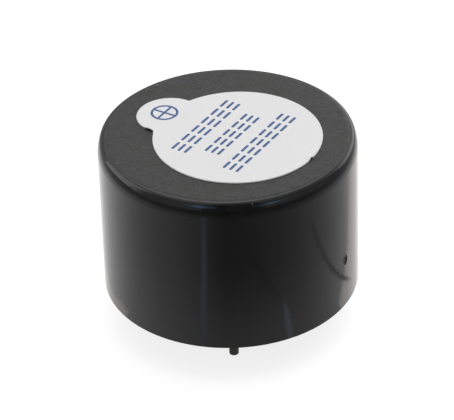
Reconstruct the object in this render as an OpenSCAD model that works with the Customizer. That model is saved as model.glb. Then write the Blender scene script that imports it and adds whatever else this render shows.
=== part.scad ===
// Sealed piezo buzzer with a built-in drive circuit, for a printed circuit board.
// The origin is the centre of the seating plane, which is the rim of the moulded cup.
// +Z runs up through the sound hole. The pins stand on the Y axis and point down, and -Y is the front.

/* [Housing] */
// Outside diameter at the seating rim
body_d = 24; // [23.4:0.2:34]
// Height from the seating plane to the grained crown
body_h = 15.5; // [14.4:0.1:22]
// Mould draft: how much smaller the radius is at the crown
draft = 0.1; // [0.02:0.01:0.2]
// Side wall thickness
wall_t = 1.0; // [0.7:0.1:1.2]
// Roof thickness
roof_t = 1.2; // [0.8:0.1:1.8]
// Height of the rounded shoulder between the wall and the polished rim
shoulder_h = 1.4; // [1:0.1:1.8]
// Radius of the shoulder where it leaves the wall
shoulder_side_r = 2.8; // [2.4:0.1:4]
// Radius of the shoulder where it meets the crown
shoulder_top_r = 0.45; // [0.3:0.05:0.6]
// Height by which the grained crown stands proud of the polished rim
crown_step = 0.06; // [0.03:0.01:0.12]
// Radius of the inside corner under the roof
inner_corner_r = 0.5; // [0.2:0.1:1]
// Chamfer inside the mouth
mouth_chamfer = 0.2; // [0.1:0.05:0.4]
// Diameter of the sound hole
sound_hole_d = 4; // [2:0.1:6]
// Height of the resonance chamber between the roof and the sounder
chamber_h = 2.6; // [1.6:0.1:3.4]
// Thickness of the support ring that carries the sounder
ring_t = 0.8; // [0.5:0.1:1.2]
// Number of ledge ribs
rib_count = 6; // [4:1:10]
// Width of a ledge rib
rib_w = 1.2; // [0.8:0.1:2]
// Height of the gate scar above the seating plane
gate_z = 5.0; // [3:0.1:9]
// Angle of the gate scar about +Z, from +X
gate_angle = -28.5; // [-180:0.5:180]
// Diameter of the slanting gate
gate_d = 0.5; // [0.3:0.05:0.8]
// Depth of the gate scar
gate_depth = 0.15; // [0.05:0.05:0.3]

/* [Seal label] */
// Diameter of the round film
label_d = 15.54; // [10:0.02:18.8]
// Film thickness
label_t = 0.1; // [0.05:0.01:0.2]
// Sideways offset of the film's centre
label_x = 0.92; // [-1.5:0.01:1.5]
// Front-to-back offset of the film's centre
label_y = -0.76; // [-1.5:0.01:1.5]
// Direction of the pull tab about +Z, from +X
tab_angle = 147.5; // [-180:0.1:180]
// Radius of the pull tab
tab_r = 3.02; // [2:0.01:3.6]
// Distance from the film's centre to the tab's centre
tab_reach = 7.39; // [6:0.01:7.6]
// Width of the registration nick opposite the tab
nick_w = 0.7; // [0.3:0.05:1.2]
// Depth of that nick
nick_depth = 0.12; // [0.05:0.01:0.3]

/* [Sounder] */
// Diameter of the brass plate
plate_d = 20; // [16:0.1:20.6]
// Thickness of the brass plate
plate_t = 0.2; // [0.1:0.01:0.3]
// How far the plate reaches past the support ring
plate_overhang = 0.3; // [0.2:0.05:0.6]
// Diameter of the ceramic disc
ceramic_d = 14; // [11:0.1:15]
// Thickness of the ceramic disc
ceramic_t = 0.2; // [0.1:0.01:0.3]
// Bare ceramic left round the main electrode
electrode_margin = 0.4; // [0.2:0.05:1]
// Thickness of the fired silver electrodes
electrode_t = 0.05; // [0.03:0.01:0.1]
// Width of the feedback tongue
tongue_w = 2.4; // [1.8:0.1:3.6]
// Length of the feedback tongue from the electrode's edge inwards
tongue_l = 4.2; // [3.4:0.1:5]
// Bare gap round the feedback tongue
tongue_gap = 0.5; // [0.3:0.05:0.8]
// Thickness of the silicone under the plate
bond_t = 0.1; // [0.05:0.01:0.2]
// Radius of the silicone bead outside the support ring
bead_r = 0.25; // [0.1:0.01:0.3]

/* [Circuit board] */
// Board thickness
board_t = 1.0; // [0.8:0.1:1.6]
// Gap between the board's edge and the housing wall
board_gap = 0.3; // [0.15:0.05:0.6]
// Copper thickness
track_t = 0.05; // [0.03:0.01:0.1]
// Track width
track_w = 0.6; // [0.4:0.05:0.8]
// How far a solder fillet stands below its pad
solder_h = 0.6; // [0.4:0.05:0.9]
// How far a lead end stands below its solder fillet
lead_tail = 0.25; // [0.1:0.05:0.4]

/* [Components] */
// Diameter of the coil's ferrite drum
coil_d = 6; // [5:0.1:7.2]
// Height of the ferrite drum
coil_h = 5; // [3.5:0.1:6]
// Thickness of the drum's flanges
flange_t = 0.8; // [0.5:0.1:1.2]
// Diameter of the drum's neck
neck_d = 2.8; // [2:0.1:4]
// Diameter of the enamelled wire
magnet_wire_d = 0.24; // [0.1:0.02:0.4]
// Pitch of the coil's leads
coil_pitch = 2.5; // [2:0.1:3]
// Transistor body diameter
transistor_d = 4.6; // [4:0.1:5]
// Transistor body height
transistor_h = 4.6; // [3.5:0.1:5]
// Height of the transistor above the board
transistor_lift = 0.9; // [0.5:0.1:1.2]
// Pitch of the transistor's leads
transistor_pitch = 1.27; // [1.27:0.01:1.5]
// Diode body diameter
diode_d = 1.8; // [1.4:0.1:2.1]
// Diode body length
diode_l = 3.8; // [3:0.1:4.6]
// Distance between the diode's two holes
diode_pitch = 7.6; // [7:0.1:8.4]
// Length of a chip resistor
chip_l = 2.0; // [1.6:0.1:2.2]
// Width of a chip resistor
chip_w = 1.25; // [0.8:0.05:1.3]
// Thickness of a chip resistor
chip_t = 0.55; // [0.4:0.05:0.7]

/* [Pins] */
// Distance between the two pins
pin_pitch = 15; // [12.5:0.1:18]
// Diameter of a pin's tail
pin_d = 0.9; // [0.6:0.02:1.1]
// Length of a pin below the seating plane
pin_l = 4.0; // [2.5:0.1:6]
// Diameter of the thicker part that is pressed into the board
pin_body_d = 1.4; // [1.3:0.05:1.8]
// How far that part stands above the board
pin_head_h = 0.4; // [0.2:0.1:0.8]
// Radius at the pin's tip
pin_tip_r = 0.08; // [0.05:0.01:0.3]

/* [Potting] */
// Depth of the resin's surface below the rim
resin_recess = 0.4; // [0.3:0.05:0.8]
// Depth of resin under the board
resin_t = 2.8; // [2:0.1:3.4]
// Radius of the resin's climb up the wall
meniscus_r = 0.3; // [0.1:0.05:0.3]

/* [Wires] */
// Outside diameter of a sounder lead
wire_d = 0.6; // [0.4:0.02:0.7]
// Diameter of its bare strands
strand_d = 0.32; // [0.2:0.02:0.4]
// Bend radius of a sounder lead
wire_bend_r = 0.8; // [0.6:0.05:1]

/* [Hidden] */
$fn = 64;

// Clearances and small allowances
fuse = 0.1;             // how far a rib runs into the wall that it grows from
locate_clear = 0.15;    // between the plate's edge and the ribs that centre it
hole_clear = 0.1;       // round a lead in its board hole
rib_relief = 0.6;       // room for the silicone bead under a rib's buttress
pin_shoulder = 0.05;    // how far a pin's shoulder stands below the resin
cut = 1;                // how far a cutter runs past what it cuts

// Heights, from the seating plane up
roof_z = body_h - roof_t;
seat_z = roof_z - chamber_h;
plate_top = seat_z - bond_t;
plate_bottom = plate_top - plate_t;
ceramic_bottom = plate_bottom - ceramic_t;
electrode_bottom = ceramic_bottom - electrode_t;
board_bottom = resin_recess + resin_t;
board_top = board_bottom + board_t;
track_bottom = board_bottom - track_t;
tail_bottom = track_bottom - solder_h - lead_tail;

// Wall and shoulder: a wide arc leaves the wall, and a tight one inside it ends level at the rim
draft_angle = atan(draft / body_h);
rim_top = body_h - crown_step;
shoulder_z = rim_top - shoulder_h;
side_centre = [wall_outer(shoulder_z), shoulder_z] - shoulder_side_r * [cos(draft_angle), sin(draft_angle)];
top_centre_z = rim_top - shoulder_top_r;
crown_r = side_centre.x
    + sqrt(pow(shoulder_side_r - shoulder_top_r, 2) - pow(top_centre_z - side_centre.y, 2));

// Support ring and ribs, sized from the plate that they carry
ring_outer_r = plate_d / 2 - plate_overhang;
ring_inner_r = ring_outer_r - ring_t;
rib_inner_r = plate_d / 2 + locate_clear;
rib_start = 30;

// Places on the board, seen from above
pin_places = [[0, -pin_pitch / 2], [0, pin_pitch / 2]];
coil_place = [-5.4, -0.6];
coil_lead_places = [for (side = [-1, 1]) coil_place + [side * coil_pitch / 2, 0]];
transistor_place = [4.6, -0.8];
transistor_lead_places = [for (row = [-1 : 1]) transistor_place + [0, row * transistor_pitch]];
diode_place = [0.4, 4.4];
diode_lead_places = [for (side = [-1, 1]) diode_place + [side * diode_pitch / 2, 0]];
main_drop = [0.2, 0.47];
feedback_drop = [0, -1.3];
chip_places = [[coil_place.x, -2.7, 0], [2.3, -1.3, 0], [7.4, -0.4, 90]];

// Sounder joints: on the main electrode, on the tongue and on the bare brass
joint_r = 0.8;
joint_h = 0.45;
joint_run = 2.4;
main_joint = main_drop + joint_run * [cos(135), sin(135)];
feedback_joint = feedback_drop + joint_run * [0, -1];
plate_joint_angle = -30;
plate_joint_r = (ceramic_d + plate_d) / 4;
plate_joint = plate_joint_r * [cos(plate_joint_angle), sin(plate_joint_angle)];
plate_drop = plate_joint + joint_run * [sin(plate_joint_angle), -cos(plate_joint_angle)];
plate_blob_r = min(joint_r, (plate_d - ceramic_d) / 4 - 0.2);
strand_depth = 0.2;     // from a joint's face to the middle of the strands in it

// Leads and pads
coil_lead_d = 0.6;
diode_lead_d = 0.5;
diode_lead_bend = 0.7;
transistor_lead_w = 0.45;
transistor_lead_t = 0.4;
lead_pocket = 0.6;      // how far a lead runs into its component
pad_r = 0.6;
transistor_pad_r = 0.52;
pin_pad_r = pin_body_d / 2 + 0.6;
coil_lift = 0.3;
diode_lift = 0.3;
cap_l = 0.4;            // length of a chip's end cap
cap_t = 0.05;           // thickness of its metal
chip_pad_l = 0.8;

case_black = "#1c1c1e";
film_white = "#e8e8ea";
brass = "#b99a4e";
ceramic_grey = "#c9c4b4";
silver = "#d3d3cf";
silicone = "#dcdcd4";
board_tan = "#b78f4f";
copper = "#b8693a";
solder = "#b4b6ba";
tinned = "#6f7072";
ferrite = "#35332f";
enamel = "#a3521f";
glass_amber = "#c8662a";
moulding = "#26262a";
resin = "#151517";

// Outside and inside radius of the drafted wall at a height
function wall_outer(z) = body_d / 2 - draft * z / body_h;
function wall_inner(z) = wall_outer(z) - wall_t;

// ---- Housing ----

// Half section of the cup's outside, with the crown one step proud of its polished rim
module cup_outside() {
    top_centre = [crown_r, top_centre_z];
    join_angle = atan2(top_centre_z - side_centre.y, crown_r - side_centre.x);
    reach = shoulder_side_r + cut;
    polygon([
        [0, 0], [body_d / 2, 0], [wall_outer(shoulder_z), shoulder_z], side_centre, top_centre,
        [crown_r, rim_top], [0, rim_top]
    ]);
    intersection() {
        translate(side_centre) circle(shoulder_side_r);
        polygon([
            side_centre, side_centre + reach * [cos(draft_angle), sin(draft_angle)],
            side_centre + reach * [cos(join_angle), sin(join_angle)]
        ]);
    }
    translate(top_centre) circle(shoulder_top_r);
    translate([0, rim_top - fuse]) square([crown_r, crown_step + fuse]);
}

// Half section of the hollow, from below the mouth to the roof
module cup_inside() {
    corner_z = roof_z - inner_corner_r;
    corner_x = wall_inner(corner_z) - inner_corner_r;
    polygon([
        [0, -cut], [wall_inner(0) + mouth_chamfer, -cut], [wall_inner(0) + mouth_chamfer, 0],
        [wall_inner(mouth_chamfer), mouth_chamfer], [wall_inner(corner_z), corner_z],
        [corner_x, corner_z], [corner_x, roof_z], [0, roof_z]
    ]);
    translate([corner_x, corner_z]) circle(inner_corner_r);
}

// Ring that hangs from the roof and carries the sounder
module support_ring() {
    translate([ring_inner_r, seat_z]) square([ring_t, chamber_h + fuse]);
}

// Ledge rib: stops the board, centres the sounder and braces the ring above the silicone bead
module ledge_rib() {
    rib_end = wall_inner(board_top) + wall_t / 2;
    translate([rib_inner_r, -rib_w / 2, board_top])
        cube([rib_end - rib_inner_r, rib_w, roof_z + fuse - board_top]);
    translate([ring_outer_r - fuse, -rib_w / 2, seat_z + rib_relief])
        cube([rib_end - ring_outer_r + fuse, rib_w, roof_z + fuse - seat_z - rib_relief]);
}

module gate_scar() {
    rotate(gate_angle) translate([wall_outer(gate_z) - gate_depth, 0, gate_z])
        rotate([0, 45, 0]) cylinder(d = gate_d, h = cut);
}

module housing() {
    color(case_black) difference() {
        union() {
            rotate_extrude() {
                difference() {
                    cup_outside();
                    cup_inside();
                }
                support_ring();
            }
            for (i = [0 : rib_count - 1]) rotate(rib_start + i * 360 / rib_count) ledge_rib();
        }
        translate([0, 0, roof_z - cut]) cylinder(d = sound_hole_d, h = roof_t + 2 * cut);
        gate_scar();
    }
}

// ---- Seal label ----

module seal_label() {
    nick_r = (nick_w * nick_w / 4 + nick_depth * nick_depth) / (2 * nick_depth);
    color(film_white) translate([label_x, label_y, body_h]) rotate(tab_angle)
        linear_extrude(label_t) difference() {
            union() {
                circle(d = label_d);
                translate([tab_reach, 0]) circle(r = tab_r);
            }
            translate([-label_d / 2 - nick_r + nick_depth, 0]) circle(r = nick_r);
        }
}

// ---- Sounder ----

module diaphragm_plate() {
    color(brass) translate([0, 0, plate_bottom]) cylinder(d = plate_d, h = plate_t);
}

module piezo_ceramic() {
    color(ceramic_grey) translate([0, 0, ceramic_bottom]) cylinder(d = ceramic_d, h = ceramic_t);
}

// The feedback tongue's outline, grown all round by a margin
module tongue_outline(grow) {
    electrode_r = ceramic_d / 2 - electrode_margin;
    half = tongue_w / 2 + grow;
    translate([0, tongue_l - electrode_r - tongue_w / 2]) circle(half);
    translate([-half, -electrode_r - cut]) square([2 * half, tongue_l + cut - tongue_w / 2]);
}

module electrode_disc() {
    circle(r = ceramic_d / 2 - electrode_margin);
}

module main_electrode() {
    color(silver) translate([0, 0, electrode_bottom]) linear_extrude(electrode_t) difference() {
        electrode_disc();
        tongue_outline(tongue_gap);
    }
}

module feedback_electrode() {
    color(silver) translate([0, 0, electrode_bottom]) linear_extrude(electrode_t) intersection() {
        electrode_disc();
        tongue_outline(0);
    }
}

// Silicone between ring and plate, squeezed out into a bead on the outside
module diaphragm_bond() {
    color(silicone) rotate_extrude() {
        translate([ring_inner_r, plate_top]) square([ring_t, bond_t]);
        translate([ring_outer_r, plate_top]) intersection() {
            circle(bead_r);
            square(bead_r);
        }
    }
}

// A lead from a joint on the sounder to a hole in the board: along the face, one bend, then down.
// It is drawn with the drop on the Z axis and the joint towards +X.
module lead_strands(run, face_z) {
    level = face_z - strand_depth;
    translate([run - joint_r - fuse, 0, level]) rotate([0, 90, 0])
        cylinder(d = strand_d, h = joint_r + fuse + joint_r / 2);
    translate([0, 0, tail_bottom]) cylinder(d = strand_d, h = board_top + wire_d - tail_bottom);
}

module lead_sleeve(run, face_z) {
    level = face_z - strand_depth - wire_d / 2;
    bottom = board_top + wire_d;
    translate([0, 0, bottom]) cylinder(d = wire_d, h = level - wire_bend_r - bottom);
    translate([wire_bend_r, 0, level - wire_bend_r]) rotate([90, 0, 0]) rotate(90)
        rotate_extrude(angle = 90) translate([wire_bend_r, 0]) circle(d = wire_d);
    translate([wire_bend_r, 0, level]) rotate([0, 90, 0])
        cylinder(d = wire_d, h = run - joint_r - fuse - wire_bend_r);
}

module sounder_lead(drop, joint, face_z, tint) {
    run = norm(joint - drop);
    heading = atan2(joint.y - drop.y, joint.x - drop.x);
    color(tint) translate(drop) rotate(heading) {
        lead_strands(run, face_z);
        lead_sleeve(run, face_z);
    }
}

module main_lead() sounder_lead(main_drop, main_joint, electrode_bottom, "#a02a24");
module feedback_lead() sounder_lead(feedback_drop, feedback_joint, electrode_bottom, "#2f4f9a");
module plate_lead() sounder_lead(plate_drop, plate_joint, plate_bottom, "#222222");

// A domed joint on a face that looks down, with the strands' channel left in it
module sounder_joint(drop, joint, face_z, r) {
    dome_r = (r * r + joint_h * joint_h) / (2 * joint_h);
    run = norm(joint - drop);
    heading = atan2(joint.y - drop.y, joint.x - drop.x);
    difference() {
        intersection() {
            translate([joint.x, joint.y, face_z - joint_h + dome_r]) sphere(dome_r);
            translate([joint.x - r, joint.y - r, face_z - joint_h]) cube([2 * r, 2 * r, joint_h]);
        }
        translate(drop) rotate(heading) lead_strands(run, face_z);
    }
}

module sounder_solder() {
    color(solder) {
        sounder_joint(main_drop, main_joint, electrode_bottom, joint_r);
        sounder_joint(feedback_drop, feedback_joint, electrode_bottom, joint_r);
        sounder_joint(plate_drop, plate_joint, plate_bottom, plate_blob_r);
    }
}

// ---- Circuit board ----

// Every place where something passes through the board, with the diameter of what passes
function drills() = concat(
    [for (p = pin_places) [p, pin_body_d]],
    [for (p = coil_lead_places) [p, coil_lead_d]],
    [for (p = transistor_lead_places) [p, transistor_lead_w * sqrt(2)]],
    [for (p = diode_lead_places) [p, diode_lead_d]],
    [for (p = [main_drop, feedback_drop, plate_drop]) [p, strand_d]]
);

module drill_holes() {
    for (d = drills()) translate(d[0]) circle(d = d[1] + 2 * hole_clear);
}

module circuit_board() {
    color(board_tan) translate([0, 0, board_bottom]) linear_extrude(board_t) difference() {
        circle(r = wall_inner(board_top) - board_gap);
        drill_holes();
    }
}

module track(points) {
    for (i = [0 : len(points) - 2]) {
        step = points[i + 1] - points[i];
        translate(points[i]) rotate(atan2(step.y, step.x))
            translate([0, -track_w / 2]) square([norm(step), track_w]);
        translate(points[i]) circle(d = track_w);
    }
}

// Pad places at the two ends of a chip
function chip_ends(chip) = [for (side = [-1, 1])
    [chip.x, chip.y] + side * (chip_l / 2 - cap_l / 2) * [cos(chip.z), sin(chip.z)]];

module copper_outline() {
    damping = chip_places[0];
    feedback = chip_places[1];
    bias = chip_places[2];
    // supply: rear pin to diode, diode to coil and damping resistor
    track([pin_places[1], diode_lead_places[1]]);
    track([diode_lead_places[0], coil_lead_places[0], chip_ends(damping)[0]]);
    // collector: coil and damping resistor to main lead, transistor and bias resistor
    track([chip_ends(damping)[1], coil_lead_places[1], [coil_lead_places[1].x + 1.1, main_drop.y],
        transistor_lead_places[2], chip_ends(bias)[1]]);
    // base: feedback lead through its resistor to the transistor, and the bias resistor
    track([feedback_drop, chip_ends(feedback)[0]]);
    track([chip_ends(feedback)[1], transistor_lead_places[1], chip_ends(bias)[0]]);
    // return: transistor and brass plate to the front pin
    track([transistor_lead_places[0], pin_places[0], plate_drop]);
    for (p = pin_places) translate(p) circle(pin_pad_r);
    for (p = concat(coil_lead_places, diode_lead_places, [main_drop, feedback_drop, plate_drop]))
        translate(p) circle(pad_r);
    for (p = transistor_lead_places) translate(p) circle(transistor_pad_r);
    for (chip = chip_places, end = chip_ends(chip)) translate(end) rotate(chip.z)
        square([chip_pad_l, chip_w], center = true);
}

module board_tracks() {
    color(copper) translate([0, 0, track_bottom]) linear_extrude(track_t) difference() {
        copper_outline();
        drill_holes();
    }
}

// A solder fillet under a pad, round a lead
module fillet_cone(pad, lead_d) {
    translate([0, 0, track_bottom - solder_h])
        cylinder(r1 = lead_d / 2 + hole_clear, r2 = pad - hole_clear, h = solder_h);
}

module pin_fillets() {
    for (p = pin_places) translate(p) fillet_cone(pin_pad_r, pin_body_d);
}

module lead_fillets() {
    for (p = coil_lead_places) translate(p) fillet_cone(pad_r, coil_lead_d);
    for (p = diode_lead_places) translate(p) fillet_cone(pad_r, diode_lead_d);
    for (p = [main_drop, feedback_drop, plate_drop]) translate(p) fillet_cone(pad_r, strand_d);
    for (p = transistor_lead_places) translate(p)
        fillet_cone(transistor_pad_r, transistor_lead_t);
}

// The wedge of solder at each end of a chip
module chip_fillets() {
    reach = (chip_pad_l - cap_l) / 2;
    for (chip = chip_places) translate([chip.x, chip.y, track_bottom]) rotate(chip.z)
        for (side = [0, 1]) mirror([side, 0, 0]) translate([chip_l / 2, 0, 0]) rotate([90, 0, 0])
            linear_extrude(chip_w, center = true)
                polygon([[0, 0], [reach, 0], [0, -chip_t * 0.7]]);
}

module board_solder() {
    color(solder) difference() {
        union() {
            pin_fillets();
            lead_fillets();
            chip_fillets();
        }
        pin_bodies();
        lead_ends();
    }
}

// ---- Transistor ----

module transistor_leads() {
    color(tinned) for (p = transistor_lead_places)
        translate([p.x - transistor_lead_t / 2, p.y - transistor_lead_w / 2, tail_bottom])
            cube([transistor_lead_t, transistor_lead_w,
                board_top + transistor_lift + lead_pocket - tail_bottom]);
}

// Round moulding with a flat face towards the coil
module transistor_body() {
    flat_x = transistor_d * 0.28;
    color(moulding) difference() {
        translate([transistor_place.x, transistor_place.y, board_top + transistor_lift])
            linear_extrude(transistor_h) intersection() {
                circle(d = transistor_d);
                translate([-flat_x, -transistor_d / 2]) square(transistor_d);
            }
        transistor_leads();
    }
}

// ---- Coil ----

coil_bottom = board_top + coil_lift;

module coil_leads() {
    color(tinned) for (p = coil_lead_places) translate([p.x, p.y, tail_bottom])
        cylinder(d = coil_lead_d, h = coil_bottom + flange_t - fuse - tail_bottom);
}

module coil_core() {
    color(ferrite) difference() {
        translate([coil_place.x, coil_place.y, coil_bottom]) rotate_extrude() {
            square([neck_d / 2, coil_h]);
            square([coil_d / 2, flange_t]);
            translate([0, coil_h - flange_t]) square([coil_d / 2, flange_t]);
        }
        coil_leads();
    }
}

// Layers of wire as one body, with each turn of the outer layer showing
module coil_winding() {
    window = coil_h - 2 * flange_t;
    turns = floor(window / magnet_wire_d);
    turn_step = window / turns;
    outer_r = coil_d / 2 - magnet_wire_d * 1.5;
    color(enamel) translate([coil_place.x, coil_place.y, coil_bottom + flange_t]) rotate_extrude() {
        translate([neck_d / 2, 0]) square([outer_r - neck_d / 2, window]);
        for (i = [0 : turns - 1]) translate([outer_r, (i + 0.5) * turn_step])
            circle(d = magnet_wire_d);
    }
}

// ---- Diode ----

diode_axis = board_top + diode_lift + diode_d / 2;

// Both leads, from inside the glass out, down and through the board
module diode_leads() {
    color(tinned) translate([diode_place.x, diode_place.y, diode_axis])
        for (side = [0, 1]) mirror([side, 0, 0]) {
            start = diode_l / 2 - lead_pocket;
            bend_x = diode_pitch / 2 - diode_lead_bend;
            translate([start, 0, 0]) rotate([0, 90, 0]) cylinder(d = diode_lead_d, h = bend_x - start);
            translate([bend_x, 0, -diode_lead_bend]) rotate([90, 0, 0])
                rotate_extrude(angle = 90) translate([diode_lead_bend, 0]) circle(d = diode_lead_d);
            translate([diode_pitch / 2, 0, tail_bottom - diode_axis])
                cylinder(d = diode_lead_d, h = diode_axis - diode_lead_bend - tail_bottom);
        }
}

module diode_body() {
    end_r = diode_d / 4;
    color(glass_amber) difference() {
        translate([diode_place.x - diode_l / 2, diode_place.y, diode_axis]) rotate([0, 90, 0])
            rotate_extrude() {
                translate([0, end_r]) square([diode_d / 2, diode_l - 2 * end_r]);
                square([diode_d / 2 - end_r, diode_l]);
                for (z = [end_r, diode_l - end_r])
                    translate([diode_d / 2 - end_r, z]) circle(end_r);
            }
        diode_leads();
    }
}

// ---- Chip resistors, on the copper side ----

module chip_block(length, width, thickness, drop) {
    for (chip = chip_places) translate([chip.x, chip.y, track_bottom - drop]) rotate(chip.z)
        translate([-length / 2, -width / 2, -thickness]) cube([length, width, thickness]);
}

module resistor_bodies() {
    color("#2b2b2b")
        chip_block(chip_l - 2 * cap_t, chip_w - 2 * cap_t, chip_t - 2 * cap_t, cap_t);
}

module resistor_caps() {
    color(silver) difference() {
        for (chip = chip_places, side = [0, 1]) translate([chip.x, chip.y, track_bottom - chip_t])
            rotate(chip.z) mirror([side, 0, 0]) translate([chip_l / 2 - cap_l, -chip_w / 2, 0])
                cube([cap_l, chip_w, chip_t]);
        resistor_bodies();
    }
}

// ---- Pins ----

// Thicker part of each pin, from its shoulder up through the board
module pin_bodies() {
    bottom = resin_recess - pin_shoulder;
    for (p = pin_places) translate([p.x, p.y, bottom])
        cylinder(d = pin_body_d, h = board_top + pin_head_h - bottom);
}

module pin(place) {
    bottom = resin_recess - pin_shoulder;
    color(tinned) translate(place) rotate_extrude() {
        translate([0, bottom]) square([pin_body_d / 2, board_top + pin_head_h - bottom]);
        translate([0, pin_tip_r - pin_l]) square([pin_d / 2, bottom + pin_l - pin_tip_r]);
        translate([0, -pin_l]) square([pin_d / 2 - pin_tip_r, pin_tip_r + fuse]);
        translate([pin_d / 2 - pin_tip_r, pin_tip_r - pin_l]) intersection() {
            circle(pin_tip_r);
            translate([0, -pin_tip_r]) square(pin_tip_r);
        }
    }
}

module pin_front() pin(pin_places[0]);
module pin_rear() pin(pin_places[1]);

// ---- Potting ----

// Lead ends below the board, all of them
module lead_ends() {
    transistor_leads();
    coil_leads();
    diode_leads();
    for (p = [main_drop, feedback_drop, plate_drop]) translate([p.x, p.y, tail_bottom])
        cylinder(d = strand_d, h = board_top - tail_bottom);
}

// Resin from its recessed surface up to the board, climbing a little at the wall
module resin_outline() {
    wall_x = wall_inner(resin_recess);
    climb_z = resin_recess - meniscus_r;
    polygon([
        [0, resin_recess], [wall_x, resin_recess],
        [wall_inner(board_bottom), board_bottom], [0, board_bottom]
    ]);
    difference() {
        polygon([
            [wall_x - meniscus_r, climb_z], [wall_inner(climb_z), climb_z],
            [wall_x, resin_recess], [wall_x - meniscus_r, resin_recess]
        ]);
        translate([wall_x - meniscus_r, climb_z]) circle(meniscus_r);
    }
}

module potting_resin() {
    color(resin) difference() {
        rotate_extrude() resin_outline();
        translate([0, 0, track_bottom]) linear_extrude(track_t + cut) copper_outline();
        pin_fillets();
        lead_fillets();
        chip_fillets();
        chip_block(chip_l, chip_w, chip_t, 0);
        pin_bodies();
        lead_ends();
    }
}

housing();
seal_label();
diaphragm_plate();
piezo_ceramic();
main_electrode();
feedback_electrode();
diaphragm_bond();
main_lead();
feedback_lead();
plate_lead();
sounder_solder();
circuit_board();
board_tracks();
board_solder();
transistor_body();
transistor_leads();
coil_core();
coil_winding();
coil_leads();
diode_body();
diode_leads();
resistor_bodies();
resistor_caps();
pin_front();
pin_rear();
potting_resin();
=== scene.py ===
"""Looks of a sealed piezo buzzer for a printed circuit board.

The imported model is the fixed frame. This script replaces the cup, the peel-off seal and the two pins with
finely meshed pieces of the same size, adds the seal's print and some lint on the case, and gives every
inner part its own finish.
Sizes in the classes are in millimetres. Meshes are made in metres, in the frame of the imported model:
+Z runs up through the sound hole, -Y is the front, and the seating plane is z = 0.
"""

from __future__ import annotations

import logging
import math
import random
from dataclasses import dataclass, field
from enum import Enum, IntEnum
from typing import Callable, Iterable, Sequence
import bmesh
import bpy
from mathutils import Matrix, Vector, noise


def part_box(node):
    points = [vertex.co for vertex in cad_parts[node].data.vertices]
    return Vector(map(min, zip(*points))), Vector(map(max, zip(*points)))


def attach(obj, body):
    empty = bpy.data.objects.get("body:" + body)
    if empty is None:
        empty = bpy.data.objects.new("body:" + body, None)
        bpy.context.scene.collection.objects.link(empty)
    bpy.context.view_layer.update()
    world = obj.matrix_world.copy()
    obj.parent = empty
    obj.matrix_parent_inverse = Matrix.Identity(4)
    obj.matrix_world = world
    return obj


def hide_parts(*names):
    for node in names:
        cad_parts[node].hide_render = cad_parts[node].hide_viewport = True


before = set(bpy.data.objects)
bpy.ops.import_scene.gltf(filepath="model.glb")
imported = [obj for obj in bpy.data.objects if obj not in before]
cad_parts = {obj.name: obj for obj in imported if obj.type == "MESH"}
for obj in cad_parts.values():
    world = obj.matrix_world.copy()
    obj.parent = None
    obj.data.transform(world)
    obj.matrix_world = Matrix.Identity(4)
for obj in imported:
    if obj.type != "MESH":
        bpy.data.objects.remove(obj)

LOG = logging.getLogger("buzzer")
MM = 0.001
TINY = 1e-6
NODES_PER_ROW = 7
NODE_STEP = (230, 300)
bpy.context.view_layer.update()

Point2 = tuple[float, float]
Point3 = tuple[float, float, float]
Colour = tuple[float, float, float]
Face = tuple[int, ...]
Sheet = tuple[list[Point3], list[Face]]


# ---- Drawing ----


@dataclass(frozen=True)
class NodeBox:
    """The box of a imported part, in millimetres.

    Attributes:
        low: Its lowest corner.
        high: Its highest corner.
    """

    low: Point3
    high: Point3

    @classmethod
    def of(cls, node: str) -> NodeBox:
        """Reads the box of a node from the frame."""
        low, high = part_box(node)
        return cls(tuple(v / MM for v in low), tuple(v / MM for v in high))

    @property
    def middle(self) -> Point2:
        """Its middle, seen from above."""
        return ((self.low[0] + self.high[0]) / 2, (self.low[1] + self.high[1]) / 2)


def spaced(start: float, end: float, count: int) -> list[float]:
    """Returns count + 1 evenly spaced values from start to end."""
    return [start + (end - start) * i / count for i in range(count + 1)]


def smooth_step(x: float) -> float:
    """Returns 0 below 0, 1 above 1, and an even S curve between them."""
    x = min(max(x, 0.0), 1.0)
    return x * x * (3.0 - 2.0 * x)


def bump_at(distance: float, reach: float) -> float:
    """Returns a soft bump that is 1 at distance 0 and falls to 0 at reach."""
    return 1.0 - smooth_step(abs(distance) / reach)


def toward(angle: float) -> Point2:
    """Returns the point at a distance of 1 in a direction, in degrees."""
    return (math.cos(math.radians(angle)), math.sin(math.radians(angle)))


def grid_faces(rows: int, columns: int, closed: bool = False) -> list[Face]:
    """Lists the four-sided faces of a sheet whose points are numbered row by row.

    Args:
        rows: Number of rows of points.
        columns: Number of points in each row.
        closed: Whether the last point of a row joins its first.

    Returns:
        The numbers of the points of each face.
    """
    steps = [(j, (j + 1) % columns) for j in range(columns if closed else columns - 1)]
    starts = [i * columns for i in range(rows - 1)]
    return [(low + j, low + k, low + columns + k, low + columns + j) for low in starts for j, k in steps]


def add_object(name: str, data: bpy.types.ID) -> bpy.types.Object:
    """Adds an object to the scene.

    Args:
        name: Its name.
        data: Its mesh, lamp or camera.

    Returns:
        The new object.
    """
    made = bpy.data.objects.new(name, data)
    bpy.context.scene.collection.objects.link(made)
    return made


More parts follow.
